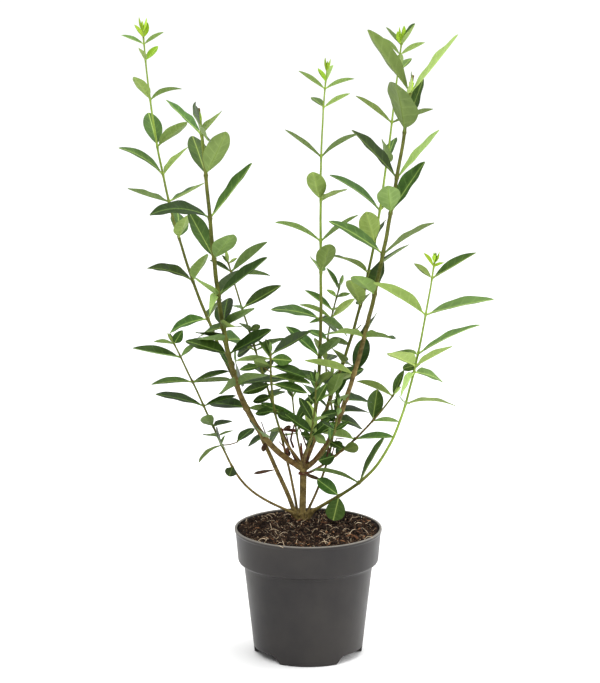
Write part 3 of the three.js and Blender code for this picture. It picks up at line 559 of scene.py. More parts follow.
class Room:
    """Keeps the samples of limbs and leaves, and says whether a new leaf has room."""

    def __init__(self, limbs: Sequence[Limb]) -> None:
        """Samples the stems.

        Args:
            limbs: every shoot's centre line.
        """
        arcs = [np.arange(0, limb.length, STEM_SAMPLE) for limb in limbs]
        self.stem_s = np.concatenate(arcs)
        self.stem_owner = np.repeat(np.arange(len(limbs)), [len(a) for a in arcs])
        self.stem_point = np.concatenate([limb.point(a) for limb, a in zip(limbs, arcs)])
        self.stem_radius = np.concatenate([limb.radius(a) for limb, a in zip(limbs, arcs)])
        self.leaves: list[tuple[int, Array, Array, float]] = []

    def _clear_of_stems(self, points: Array, index: int, s: float) -> bool:
        """Tests a leaf against every stem.

        Args:
            points: the leaf's samples.
            index: which shoot it grows on.
            s: the arc length of its node, about which its own stem may come near.

        Returns:
            Whether it keeps clear.
        """
        excused = (self.stem_owner == index) & (np.abs(self.stem_s - s) < OWN_STEM_REACH)
        low, high = points.min(axis=0) - STEM_NEAR, points.max(axis=0) + STEM_NEAR
        near = ~excused & np.all((self.stem_point > low) & (self.stem_point < high), axis=1)
        gaps = np.sum((points[:, None] - self.stem_point[near]) ** 2, axis=2)
        return bool(np.all(gaps >= (self.stem_radius[near] + STEM_CLEAR) ** 2))

    def _clear_of_leaves(self, points: Array, index: int, centre: Array, reach: float) -> bool:
        """Tests a leaf against every leaf so far.

        Args:
            points: the leaf's samples.
            index: which shoot it grows on.
            centre: the samples' middle.
            reach: how far they go from it.

        Returns:
            Whether it keeps clear.
        """
        for owner, others, middle, extent in self.leaves:
            room = OWN_LEAF_CLEAR if owner == index else LEAF_CLEAR
            if np.linalg.norm(middle - centre) > reach + extent + room:
                continue
            gaps = np.sum((points[:, None] - others[None]) ** 2, axis=2)
            if np.any(gaps < room * room):
                return False
        return True

    def takes(self, leaf: Leaf, index: int, s: float) -> bool:
        """Adds a leaf if it has room.

        Args:
            leaf: the leaf to try.
            index: which shoot it grows on.
            s: the arc length of its node.

        Returns:
            Whether it was added.
        """
        points = leaf.samples()
        above = points[:, 2] >= SOIL_TOP + POT_CLEAR
        outside = np.hypot(points[:, 0], points[:, 1]) >= RIM_RADIUS + POT_CLEAR
        free = bool(np.all(above | outside)) and self._clear_of_stems(points, index, s)
        centre = points.mean(axis=0)
        reach = float(np.linalg.norm(points - centre, axis=1).max())
        free = free and self._clear_of_leaves(points, index, centre, reach)
        if free:
            self.leaves.append((index, points, centre, reach))
        return free


class Growth:
    """All shoots with their leaves, grown by the rule of the part's source."""

    def __init__(self, shoots: Sequence[Shoot], rule: PairRule) -> None:
        """Grows every leaf: first the spread ones, then the pairs by rule.

        Args:
            shoots: the shoots' table.
            rule: the crosswise rule.
        """
        self.rule = rule
        self.limbs = [Limb(shoot) for shoot in shoots]
        self.leaves: list[list[Leaf]] = [[] for _ in shoots]
        self.room = Room(self.limbs)
        for spread_round in (True, False):
            for index in range(len(shoots)):
                self._grow(index, spread_round)

    def _grow(self, index: int, spread_round: bool) -> None:
        """Grows one shoot's leaves of one round.

        Args:
            index: which shoot.
            spread_round: whether this is the round of leaves that are given by their spread.
        """
        limb = self.limbs[index]
        dice = Dice(limb.shoot.seed)
        nodes = limb.shoot.nodes
        s = limb.length
        for k, (gap, *spreads) in enumerate(nodes):
            s -= gap
            drift = dice.spread(self.rule.drift)
            throws = [Throw(*[dice.spread(1) for _ in range(6)]) for _ in range(2)]
            if bool(spreads) != spread_round:
                continue
            if spread_round:
                tries = [[spread_leaf(limb, s, spread, *change) for change in SPREAD_TRIES]
                         for spread in spreads]
            else:
                turn = limb.shoot.turn + self.rule.turn * k + drift
                tries = [[self.rule.leaf(limb, s, turn + 180 * half, thrown, k / len(nodes), *change)
                          for change in RULE_TRIES] for half, thrown in enumerate(throws)]
            for leaves in tries:
                taken = next((leaf for leaf in leaves if self.room.takes(leaf, index, s)), None)
                if taken is not None:
                    self.leaves[index].append(taken)


class Wires:
    """Lays nodes in one tree, for geometry or for a shader, and links them."""

    def __init__(self, tree: bpy.types.NodeTree) -> None:
        """Keeps the tree that the nodes go in."""
        self.tree = tree

    def feed(self, socket: Socket, value: object) -> None:
        """Gives an input socket what it reads.

        Args:
            socket: the input.
            value: a value, or the output socket to link it to.
        """
        if isinstance(value, Socket):
            self.tree.links.new(value, socket)
        else:
            socket.default_value = value

    def add(self, kind: str, inputs: dict[str | int, object] | None = None,
            **settings: object) -> bpy.types.Node:
        """Adds one node.

        Args:
            kind: the node's type.
            inputs: values or output sockets by input name or number.
            settings: the node's own properties.

        Returns:
            The node.
        """
        node = self.tree.nodes.new(kind)
        for key, value in settings.items():
            setattr(node, key, value)
        for key, value in (inputs or {}).items():
            self.feed(node.inputs[key], value)
        return node

    def math(self, operation: str, first: object, *others: object) -> Socket:
        """Lays a sum on numbers.

        Args:
            operation: the sum.
            first: its first value.
            others: the next ones, each summed with the result so far.

        Returns:
            The result.
        """
        if not others:
            return self.add("ShaderNodeMath", {0: first}, operation=operation).outputs[0]
        for other in others:
            first = self.add("ShaderNodeMath", {0: first, 1: other}, operation=operation).outputs[0]
        return first

    def vector(self, operation: str, first: object, *others: object) -> Socket:
        """Lays a sum on vectors.

        Args:
            operation: the sum.
            first: its first vector.
            others: the next ones, each summed with the result so far.

        Returns:
            The result.
        """
        for other in others:
            node = self.add("ShaderNodeVectorMath", {0: first, 1: other}, operation=operation)
            first = node.outputs[0]
        return first

    def scaled(self, vector: object, factor: object) -> Socket:
        """Returns a vector times a number."""
        node = self.add("ShaderNodeVectorMath", {0: vector, "Scale": factor}, operation="SCALE")
        return node.outputs[0]

    def range(self, value: object, **ends: float) -> Socket:
        """Maps a number from one range to another, each 0 to 1 where no end is given.

        Args:
            value: the number.
            ends: the ends that differ, named low, high, to_low and to_high.

        Returns:
            The mapped number.
        """
        names = {"low": "From Min", "high": "From Max", "to_low": "To Min", "to_high": "To Max"}
        given = {names[end]: number for end, number in ends.items()}
        return self.add("ShaderNodeMapRange", {"Value": value, **given}).outputs[0]

    def split(self, vector: object) -> tuple[Socket, ...]:
        """Returns the three numbers of a vector."""
        return tuple(self.add("ShaderNodeSeparateXYZ", {"Vector": vector}).outputs)

    def blend(self, factor: object, first: object, second: object) -> Socket:
        """Returns a colour between two."""
        node = self.add("ShaderNodeMix", {"Factor": factor, 6: first, 7: second}, data_type="RGBA")
        return node.outputs[2]

    def attribute(self, name: str, kind: str = "FLOAT") -> Socket:
        """Returns a geometry's named attribute."""
        node = self.add("GeometryNodeInputNamedAttribute", {"Name": name}, data_type=kind)
        return node.outputs["Attribute"]


class GeometryTree(Wires):
    """A Geometry Nodes tree with named inputs, run on an object through a modifier that is then removed.
    """

    def __init__(self, name: str, inputs: dict[str, str]) -> None:
        """Starts the tree.

        Args:
            name: the tree's name.
            inputs: socket types by the inputs' names, besides the geometry.
        """
        tree = bpy.data.node_groups.new(name, "GeometryNodeTree")
        super().__init__(tree)
        face = tree.interface
        face.new_socket("Geometry", in_out="INPUT", socket_type="NodeSocketGeometry")
        for label, kind in inputs.items():
            face.new_socket(label, in_out="INPUT", socket_type=f"NodeSocket{kind}")
        face.new_socket("Geometry", in_out="OUTPUT", socket_type="NodeSocketGeometry")
        self.given = self.add("NodeGroupInput").outputs
        self.result = self.add("NodeGroupOutput").inputs[0]

    def dress(self, geometry: object, material: Finish, smooth: bool = True) -> None:
        """Ends the tree.

        Args:
            geometry: what it made.
            material: what that is made of.
            smooth: whether it is shaded smooth.
        """
        whole = self.add("GeometryNodeRealizeInstances", {"Geometry": geometry}).outputs[0]
        if smooth:
            whole = self.add("GeometryNodeSetShadeSmooth", {"Geometry": whole}).outputs[0]
        dressed = self.add("GeometryNodeSetMaterial", {"Geometry": whole, "Material": material})
        self.feed(self.result, dressed.outputs[0])

    def run(self, source: Piece, name: str, **values: object) -> Piece:
        """Runs the tree on an object and keeps only the plain mesh that comes out.

        Args:
            source: the object that the tree reads, which is removed.
            name: the new piece's name.
            values: the tree's inputs by name.

        Returns:
            The new piece.
        """
        modifier = source.modifiers.new(name, "NODES")
        modifier.node_group = self.tree
        for item in self.tree.interface.items_tree:
            if item.in_out == "INPUT" and item.name in values:
                modifier[item.identifier] = values[item.name]
        graph = bpy.context.evaluated_depsgraph_get()
        mesh = bpy.data.meshes.new_from_object(
            source.evaluated_get(graph), preserve_all_data_layers=True, depsgraph=graph)
        source.modifiers.remove(modifier)
        bpy.data.objects.remove(source)
        mesh.name = name
        return linked(name, mesh)


def linked(name: str, data: bpy.types.ID) -> Piece:
    """Puts data in the scene as an object at the origin.

    Args:
        name: the object's name.
        data: a mesh, a lamp or a camera.

    Returns:
        The object.
    """
    made = bpy.data.objects.new(name, data)
    bpy.context.scene.collection.objects.link(made)
    return made


def mesh_object(name: str, points: Array, faces: Sequence[Sequence[int]] = (),
                edges: Sequence[Sequence[int]] = (), attributes: dict[str, Array] | None = None,
                smooth: bool = True) -> Piece:
    """Makes an object from points in millimetres.

    Args:
        name: the object's name.
        points: one row for each vertex.
        faces: vertex numbers of each face.
        edges: vertex numbers of each loose edge.
        attributes: numbers or vectors for each vertex, kept as named attributes.
        smooth: whether the faces are shaded smooth.

    Returns:
        The object, in metres.
    """
    mesh = bpy.data.meshes.new(name)
    mesh.from_pydata((np.asarray(points, float) * MM).tolist(), list(edges), list(faces))
    for label, values in (attributes or {}).items():
        values = np.asarray(values, np.float32)
        kind, member = ("FLOAT_VECTOR", "vector") if values.ndim == 2 else ("FLOAT", "value")
        mesh.attributes.new(label, kind, "POINT").data.foreach_set(member, values.ravel())
    mesh.polygons.foreach_set("use_smooth", [smooth] * len(mesh.polygons))
    mesh.update()
    return linked(name, mesh)


def shell_faces(rings: int, count: int) -> list[Face]:
    """Lists the faces of a closed shell that runs through rings of vertices.

    Args:
        rings: how many rings there are.
        count: how many vertices each has, anticlockwise seen from the last ring.

    Returns:
        The quads between the rings, and then the cap on the first ring and on the last.
    """
    quads = [(i + j, i + (j + 1) % count, i + count + (j + 1) % count, i + count + j)
             for i in range(0, (rings - 1) * count, count) for j in range(count)]
    last = (rings - 1) * count
    return [*quads, tuple(reversed(range(count))), tuple(range(last, last + count))]


def finish_piece(piece: Piece, slot: str, nodes: Sequence[str]) -> Piece:
    """Puts a finished piece on the frame's body and reports it.

    Args:
        piece: the piece.
        slot: the name of a material slot in the record, which is only logged.
        nodes: the frame's nodes that it stands for.

    Returns:
        The same piece.
    """
    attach(piece, BODY)
    if nodes:
        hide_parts(*nodes)
    piece.data.calc_loop_triangles()
    log.info("%-26s %7d triangles  %s", piece.name, len(piece.data.loop_triangles), slot)
    return piece


class ShaderGroup(Wires):
    """A shader node group with named inputs and outputs."""

    ROUGHNESS = 0.55

    def __init__(self, name: str, inputs: dict[str, object], outputs: dict[str, str]) -> None:
        """Starts the group.

        Args:
            name: the group's name.
            inputs: by name, a number's first value or the type of anything else.
            outputs: types by name.
        """
        tree = bpy.data.node_groups.new(name, "ShaderNodeTree")
        super().__init__(tree)
        for label, given in inputs.items():
            kind = given if isinstance(given, str) else "Float"
            socket = tree.interface.new_socket(
                label, in_out="INPUT", socket_type=f"NodeSocket{kind}")
            if kind == "Float":
                socket.default_value = given
        for label, kind in outputs.items():
            tree.interface.new_socket(label, in_out="OUTPUT", socket_type=f"NodeSocket{kind}")
        self.given = self.add("NodeGroupInput").outputs
        self.results = self.add("NodeGroupOutput").inputs

    def noise(self, scale: object, detail: float, vector: object) -> Socket:
        """Lays a noise over the group's surface.

        Args:
            scale: its scale, per metre.
            detail: how many finer layers it has.
            vector: the place on the surface.

        Returns:
            Its height.
        """
        node = self.add("ShaderNodeTexNoise", {
            "Vector": vector, "Scale": scale, "Detail": detail, "Roughness": self.ROUGHNESS})
        return node.outputs["Fac"]

    def give(self, **results: Socket) -> bpy.types.NodeTree:
        """Ends the group.

        Args:
            results: what it puts out, by name.

        Returns:
            The group's tree.
        """
        for label, socket in results.items():
            self.feed(self.results[label], socket)
        return self.tree


def rgba(colour: Colour) -> tuple[float, float, float, float]:
    """Turns a display colour into a shader's own.

    Args:
        colour: red, green and blue, 0 to 255.

    Returns:
        The linear colour, opaque.
    """
    shares = [part / 255 for part in colour]
    return (*(c / 12.92 if c <= 0.04045 else ((c + 0.055) / 1.055) ** 2.4 for c in shares), 1.0)


class Effects:
    """The node groups that the materials share."""

    def __init__(self) -> None:
        """Builds each group once."""
        self.mottle = self._mottle()
        self.relief = self._relief()
        self.veins = self._veins()

    def _mottle(self) -> bpy.types.NodeTree:
        """Builds the group that blends two colours in soft patches.

        Returns:
            Its tree, which puts out the colour and the patches' mask.
        """
        group = ShaderGroup("Mottle", {
            "Vector": "Vector", "First": "Color", "Second": "Color", "Scale": 200.0, "Amount": 0.6},
            {"Colour": "Color", "Mask": "Float"})
        given = group.given
        spread = group.range(group.noise(given["Scale"], 4, given["Vector"]), low=0.32, high=0.68)
        mask = group.math("MULTIPLY", spread, given["Amount"])
        return group.give(Colour=group.blend(mask, given["First"], given["Second"]), Mask=spread)

    def _relief(self) -> bpy.types.NodeTree:
        """Builds the group that gives a surface its fine relief at two scales.

        Returns:
            Its tree, which puts out the relief's height.
        """
        group = ShaderGroup("Relief", {
            "Vector": "Vector", "Scale": 400.0, "Stretch": 1.0, "Fine": 0.35}, {"Height": "Float"})
        given = group.given
        squeeze = group.add("ShaderNodeCombineXYZ", {"X": 1.0, "Y": 1.0, "Z": given["Stretch"]})
        place = group.vector("MULTIPLY", given["Vector"], squeeze.outputs[0])
        coarse = group.noise(given["Scale"], 3, place)
        fine = group.noise(group.math("MULTIPLY", given["Scale"], 4.5), 3, place)
        share = group.math("MULTIPLY", fine, given["Fine"])
        return group.give(Height=group.math("ADD", coarse, share))

    def _veins(self) -> bpy.types.NodeTree:
        """Builds the group that draws a leaf's side veins from its own map.

        Returns:
            Its tree, which puts out their height and where the leaf is pale.
        """
        group = ShaderGroup("Veins", {"Map": "Vector", "Pairs": 6.0, "Slant": 1.6},
                            {"Height": "Float", "Pale": "Float"})
        calc = group.math
        x, y, _ = group.split(group.given["Map"])
        across = calc("ABSOLUTE", calc("SUBTRACT", y, 0.5))
        along = calc("MULTIPLY", x, group.given["Pairs"])
        slanted = calc("SUBTRACT", along, calc("MULTIPLY", across, group.given["Slant"]))
        wave = calc("ABSOLUTE", calc("SINE", calc("MULTIPLY", slanted, math.pi)))
        crease = calc("POWER", calc("SUBTRACT", 1.0, wave), 5.0)
        height = calc("MULTIPLY", crease, calc("SUBTRACT", 1.0, calc("MULTIPLY", across, 1.7)))
        middle = calc("SUBTRACT", 0.4, calc("MULTIPLY", across, 2.6))
        return group.give(Height=height, Pale=calc("MAXIMUM", calc("MULTIPLY", height, 0.7), middle))


class Material(Wires):
    """One material: a principled shader fed by the shared groups."""

    def __init__(self, name: str, effects: Effects) -> None:
        """Makes the material with its shader and object coordinates.

        Args:
            name: the material's name.
            effects: the shared groups.
        """
        self.material = bpy.data.materials.new(name)
        self.material.use_nodes = True
        super().__init__(self.material.node_tree)
        self.effects = effects
        self.shader = self.tree.nodes["Principled BSDF"]
        self.place = self.add("ShaderNodeTexCoord").outputs["Object"]

    def group(self, tree: bpy.types.NodeTree, **inputs: object) -> bpy.types.NodeOutputs:
        """Places a shared group.

        Args:
            tree: the group.
            inputs: this material's own values, by name.

        Returns:
            What the group puts out.
        """
        node = self.add("ShaderNodeGroup", node_tree=tree)
        for label, value in inputs.items():
            self.feed(node.inputs[label], value)
        return node.outputs

    def patches(self, first: Colour, second: Colour, scale: float,
                amount: float) -> bpy.types.NodeOutputs:
        """Returns soft patches between two display colours, as a colour and a mask."""
        return self.group(self.effects.mottle, Vector=self.place, First=rgba(first),
                          Second=rgba(second), Scale=scale, Amount=amount)

    def bump(self, height: object, distance_mm: float, normal: object | None = None) -> Socket:
        """Turns a height into the shader's normal.

        Args:
            height: the height, 0 to 1.
            distance_mm: how high that stands.
            normal: a finer bump to add it to.

        Returns:
            The normal.
        """
        node = self.add("ShaderNodeBump", {
            "Height": height, "Distance": distance_mm * MM, "Strength": 1.0})
        if normal is not None:
            self.feed(node.inputs["Normal"], normal)
        self.feed(self.shader.inputs["Normal"], node.outputs[0])
        return node.outputs[0]

    def grain(self, height_mm: float, scale: float, stretch: float = 1.0,
              normal: object | None = None) -> Socket:
        """Bumps the surface by the shared relief and returns the normal."""
        relief = self.group(self.effects.relief, Vector=self.place, Scale=scale, Stretch=stretch)
        return self.bump(relief["Height"], height_mm, normal)

    def wear(self, inputs: dict[str, object]) -> Finish:
        """Gives the shader its values.

        Args:
            inputs: values or output sockets by the shader's input name.

        Returns:
            The finished material.
        """
        for label, value in inputs.items():
            self.feed(self.shader.inputs[label], value)
        return self.material


@dataclass(frozen=True)
class LeafFinish:
    """The look of one side of a leaf, or of its midrib."""

    name: str
    colour: Colour
    other: Colour
    vein: Colour
    rough: float
    coat: float
    vein_mm: float

    def make(self, effects: Effects) -> Finish:
        """Makes the material.

        Args:
            effects: the shared groups.

        Returns:
            The material.
        """
        made = Material(self.name, effects)
        tint = made.patches(self.colour, self.other, 90.0, 0.8)
        leaf_map = made.add("ShaderNodeUVMap", uv_map=BladeShape.MAP).outputs[0]
        veins = made.group(effects.veins, Map=leaf_map)
        pale = made.add("ShaderNodeClamp", {"Value": veins["Pale"]}).outputs[0]
        colour = made.blend(pale, tint["Colour"], rgba(self.vein))
        form = made.add("ShaderNodeAttribute", attribute_name=LeafTree.FORM).outputs["Vector"]
        chance = made.math("DIVIDE", made.split(form)[2], 2 * math.pi)
        again = made.math("FRACT", made.math("MULTIPLY", chance, 7.3))
        varied = made.add("ShaderNodeHueSaturation", {
            "Color": colour, "Hue": made.range(chance, to_low=0.484, to_high=0.506),
            "Value": made.range(again, to_low=0.74, to_high=1.2)})
        made.bump(veins["Height"], self.vein_mm, made.grain(0.05, 900.0))
        return made.wear({
            "Base Color": varied.outputs[0], "Specular IOR Level": 0.12,
            "Roughness": made.range(tint["Mask"], to_low=self.rough, to_high=self.rough + 0.12),
            "Coat Weight": self.coat, "Coat Roughness": 0.3})


class Tint(Enum):
    """How old a leaf looks, from dark to bright and then dead."""

    DARK = 0
    MATURE = 1
    FRESH = 2
    YOUNG = 3
    DRY = 4


class Side(Enum):
    """The parts of a leaf that are dressed apart."""

    UPPER = 0
    UNDER = 1
    RIB = 2


LEAF_FINISHES = {
    (tint, side): LeafFinish(f"leaf_{tint.name.lower()}_{side.name.lower()}", *look)
    for tint, looks in {
        Tint.DARK: (((36, 58, 16), (50, 74, 22), (72, 100, 40), 0.4, 0.03, -0.25),
                    ((100, 126, 66), (116, 142, 78), (142, 168, 98), 0.55, 0.0, 0.15),
                    ((104, 132, 62), (116, 144, 70), (116, 144, 70), 0.5, 0.0, 0.0)),
        Tint.MATURE: (((54, 84, 30), (74, 107, 42), (102, 136, 62), 0.4, 0.04, -0.25),
                      ((122, 148, 74), (138, 165, 86), (160, 186, 108), 0.55, 0.0, 0.15),
                      ((140, 168, 82), (152, 178, 92), (152, 178, 92), 0.5, 0.0, 0.0)),
        Tint.FRESH: (((80, 110, 46), (98, 130, 58), (128, 156, 82), 0.4, 0.06, -0.2),
                     ((128, 154, 80), (142, 168, 90), (162, 186, 108), 0.52, 0.0, 0.12),
                     ((160, 186, 98), (170, 196, 108), (170, 196, 108), 0.5, 0.0, 0.0)),
        Tint.YOUNG: (((132, 172, 32), (148, 188, 40), (166, 204, 62), 0.42, 0.1, -0.1),
                     ((150, 188, 50), (162, 198, 60), (178, 212, 80), 0.5, 0.0, 0.1),
                     ((172, 212, 70), (180, 218, 80), (180, 218, 80), 0.5, 0.0, 0.0)),
        Tint.DRY: (((54, 46, 34), (84, 58, 40), (96, 80, 56), 0.75, 0.0, -0.2),
                   ((70, 62, 46), (104, 70, 48), (110, 90, 64), 0.75, 0.0, 0.15),
                   ((96, 80, 56), (110, 90, 64), (110, 90, 64), 0.75, 0.0, 0.0)),
    }.items()
    for side, look in zip(Side, looks)
}


class Finishes:
    """Every material of the shrub, its pot and its stage."""

    def __init__(self) -> None:
        """Makes the shared groups and then each material."""
        self.effects = Effects()
        self.leaves = {key: finish.make(self.effects) for key, finish in LEAF_FINISHES.items()}
        self.bark = self._bark("shoot_bark", 1100.0, 0.10)
        self.old_bark = self._bark("old_bark", 620.0, 0.30)
        # The dead twigs' bark, which the dark ring below the fork also wears as a painted shadow
        self.dead = self._plain("dead_twig", (58, 40, 30), (104, 56, 40), 120.0, 0.85, 0.2, 500.0)
        self.plastic = self._plastic()
        self.peat = self._plain("peat", (14, 9, 6), (44, 30, 22), 260.0, 0.95, 0.9, 900.0)
        self.crumb = self._plain("peat_crumb", (20, 14, 10), (88, 66, 50), 130.0, 0.95, 0.4, 1400.0)
        self.chip = self._plain("bark_chip", (92, 60, 42), (156, 112, 78), 150.0, 0.85, 0.3, 1200.0)
        self.husk = self._plain("pale_husk", (128, 108, 84), (176, 152, 122), 150.0, 0.85, 0.2, 1200.0)
        self.fibre = self._plain("root_fibre", (150, 130, 104), (216, 196, 168), 100.0, 0.8, 0.1, 1200.0)
        self.grit = self._plain("white_grit", (226, 218, 206), (244, 240, 232), 500.0, 0.8, 0.2, 1500.0)
        self.floor = self._plain("floor", (250, 250, 250), (252, 252, 252), 3.0, 0.9, 0.0, 50.0)

    def _plain(self, name: str, first: Colour, second: Colour, patches: float, rough: float,
               relief_mm: float, grain: float) -> Finish:
        """Makes a rough two-tone material with fine relief.

        Args:
            name: the material's name.
            first: its main display colour.
            second: the colour of its patches.
            patches: the patches' scale, per metre.
            rough: its roughness.
            relief_mm: the height of its relief.
            grain: the relief's scale, per metre.

        Returns:
            The material.
        """
        made = Material(name, self.effects)
        if relief_mm > 0:
            made.grain(relief_mm, grain)
        return made.wear({"Base Color": made.patches(first, second, patches, 1.0)["Colour"],
                          "Roughness": rough, "Specular IOR Level": 0.15})

    def _bark(self, name: str, grain: float, relief_mm: float) -> Finish:
        """Makes stem bark, which turns from brown through olive to green with the stem's tone.

        Args:
            name: the material's name.
            grain: the scale of its fibres, per metre.
            relief_mm: how high they stand.

        Returns:
            The material.
        """
        made = Material(name, self.effects)
        tone, red = (made.add("ShaderNodeAttribute", attribute_name=label).outputs["Fac"]
                     for label in (CentreLines.TONE, CentreLines.RED))
        brown = made.patches((72, 59, 27), (132, 114, 66), 170.0, 0.9)["Colour"]
        olive = made.patches((68, 74, 23), (108, 112, 46), 90.0, 0.9)["Colour"]
        green = made.patches((118, 144, 48), (148, 172, 76), 120.0, 0.8)["Colour"]
        colour = made.blend(made.range(tone, high=0.5), brown, olive)
        colour = made.blend(made.range(tone, low=0.5), colour, green)
        colour = made.blend(red, colour, rgba((104, 48, 30)))
        pores = made.add("ShaderNodeTexVoronoi", {"Vector": made.place, "Scale": 420.0})
        spots = made.range(pores.outputs["Distance"], low=0.20, high=0.10, to_high=0.45)
        made.grain(relief_mm, grain, 0.25)
        return made.wear({"Base Color": made.blend(spots, colour, rgba((178, 160, 122))),
                          "Roughness": made.range(tone, to_low=0.78, to_high=0.5),
                          "Specular IOR Level": 0.2})

    def _plastic(self) -> Finish:
        """Makes the pot's moulded plastic, with scuffs, a little dust and a painted highlight along the
        top of the lip.

        Returns:
            The material.
        """
        made = Material("pot_plastic", self.effects)
        tint = made.patches((36, 34, 35), (43, 41, 41), 26.0, 0.7)
        dust = made.patches((0, 0, 0), (255, 255, 255), 14.0, 0.10)
        colour = made.blend(dust["Mask"], tint["Colour"], rgba((52, 49, 47)))
        # Painted highlight: the top of the lip is lightened towards pale grey, as if light caught its
        # rounded edge
        painted_lip_highlight = made.range(made.split(made.place)[2], low=0.1306, high=0.1318, to_high=0.8)
        made.grain(0.12, 60.0, 0.05, made.grain(0.02, 1500.0, 0.6))
        return made.wear({"Base Color": made.blend(painted_lip_highlight, colour, rgba((132, 127, 120))),
                          "Specular IOR Level": 0.22,
                          "Roughness": made.range(tint["Mask"], to_low=0.34, to_high=0.44)})


class BladeShape:
    """The thin closed shell that every leaf is bent from.

    Each vertex keeps its place on the leaf as attributes: how far along and across it lies, how
    far off the blade's middle, and how wide the blade and its stalk are there.
    """

    MAP = "leaf_map"
    PLACE = "blade_place"
    EDGE = "blade_edge"
    PART = "blade_part"
    STATIONS = (0.0, 0.04, 0.085, 0.1, 0.12, 0.15, 0.19, 0.24, 0.3, 0.36, 0.42, 0.48, 0.54, 0.6, 0.66,
                0.72, 0.77, 0.82, 0.865, 0.905, 0.94, 0.965, 0.982, 0.993, 1.0)
    SPANS = ((1.0, 0.0), (0.8, 0.75), (0.53, 1.0), (0.26, 1.0))
    TYPICAL_WIDTH = 22.0
    THICKNESS = 0.42
    STALK = 0.78
    STALK_END = 0.22
    TIP_WIDTH = 0.1
    RIB_BASE = 0.7
    RIB_TIP = 0.28
    RIB_RIDGE = 0.75
    RIB_GROOVE = 0.16
    RIB_MOST = 0.4
    RIB_STEP = 0.1
    RIDGE_TAPER = 0.8
    RIDGE_FADE = 0.5
    STALK_THICKENING = 1.3
    STALK_BULGE = 0.3

    def ring(self, t: float) -> tuple[list[Place], Place]:
        """Works out one cross section.

        Args:
            t: its place from root to tip, 0 to 1.

        Returns:
            The places (along, across, off the middle), and the half widths of a pointed blade,
            of the stalk and of a blunt blade.
        """
        blade, blunt = float(outline(t)), float(blunt_outline(t))
        fade = clamp((self.STALK_END - t) / (self.STALK_END - PETIOLE), 0, 1)
        stalk = self.TIP_WIDTH + (self.STALK - self.TIP_WIDTH) * fade
        rib_half = self.RIB_BASE + (self.RIB_TIP - self.RIB_BASE) * t
        rib = min(rib_half / (blade * self.TYPICAL_WIDTH + stalk), self.RIB_MOST)
        thick = 0.5 * self.THICKNESS * (1 + self.STALK_THICKENING * fade)
        ridge = thick + self.RIB_RIDGE * (1 - t) ** self.RIDGE_TAPER * (1 - self.RIDGE_FADE * fade)
        groove = thick - self.RIB_GROOVE * (1 - t) * (1 - fade)
        below = -thick - self.RIB_STEP
        half = [(rib + (1 - rib) * span, thick * share) for span, share in self.SPANS]
        upper = [*((-across, off) for across, off in half), (-rib, thick), (0.0, groove),
                 (rib, thick), *reversed(half)]
        lower = [*((across, -off) for across, off in half[1:]), (rib, below),
                 (0.0, -ridge - self.STALK_BULGE * fade), (-rib, below),
                 *((-across, -off) for across, off in reversed(half[1:]))]
        return [(t, across, off) for across, off in upper + lower], (blade, stalk, blunt)

    def make(self) -> Piece:
        """Makes the shell.

        Returns:
            The object, which the leaf tree reads.
        """
        rings = [self.ring(t) for t in self.STATIONS]
        count = len(rings[0][0])
        places = np.array([place for ring, _ in rings for place in ring])
        edges = np.array([edge for ring, edge in rings for _ in ring])
        *quads, root, tip = shell_faces(len(rings), count)
        faces = []
        for i, (a, b, c, d) in enumerate(quads):
            # Both sides are cut along the same diagonals, so that they never cross
            faces += [(a, b, c), (a, c, d)] if i % count < count // 2 else [(a, b, d), (b, c, d)]
        faces += [root, tip]
        made = mesh_object("blade_shape", places, faces,
                           attributes={self.PLACE: places, self.EDGE: edges})
        self._mark(made.data, count)
        return made

    def _mark(self, mesh: bpy.types.Mesh, count: int) -> None:
        """Marks the parts, the sharp margins and the map of the shell.

        Args:
            mesh: the shell's mesh.
            count: how many vertices a cross section has.
        """
        wing = len(self.SPANS)
        strips = [side for blade in (Side.UPPER, Side.UNDER)
                  for side in [blade] * wing + [Side.RIB] * 2 + [blade] * wing]
        stalk_rings = sum(t < PETIOLE for t in self.STATIONS)
        parts = [Side.RIB if i // 2 // count < stalk_rings else strips[i // 2 % count]
                 for i in range(len(mesh.polygons) - 2)]
        parts += [Side.RIB, Side.UPPER]
        values = np.array([part.value for part in parts], np.float32)
        mesh.attributes.new(self.PART, "FLOAT", "FACE").data.foreach_set("value", values)
        margins = ({0}, {count // 2})
        sharp = [{v % count for v in edge.vertices} in margins for edge in mesh.edges]
        mesh.attributes.new("sharp_edge", "BOOLEAN", "EDGE").data.foreach_set("value", sharp)
        leaf_map = mesh.uv_layers.new(name=self.MAP)
        places = mesh.attributes[self.PLACE].data
        for loop in mesh.loops:
            t, across, _ = places[loop.vertex_index].vector
            leaf_map.uv[loop.index].vector = (t, 0.5 + 0.5 * across)


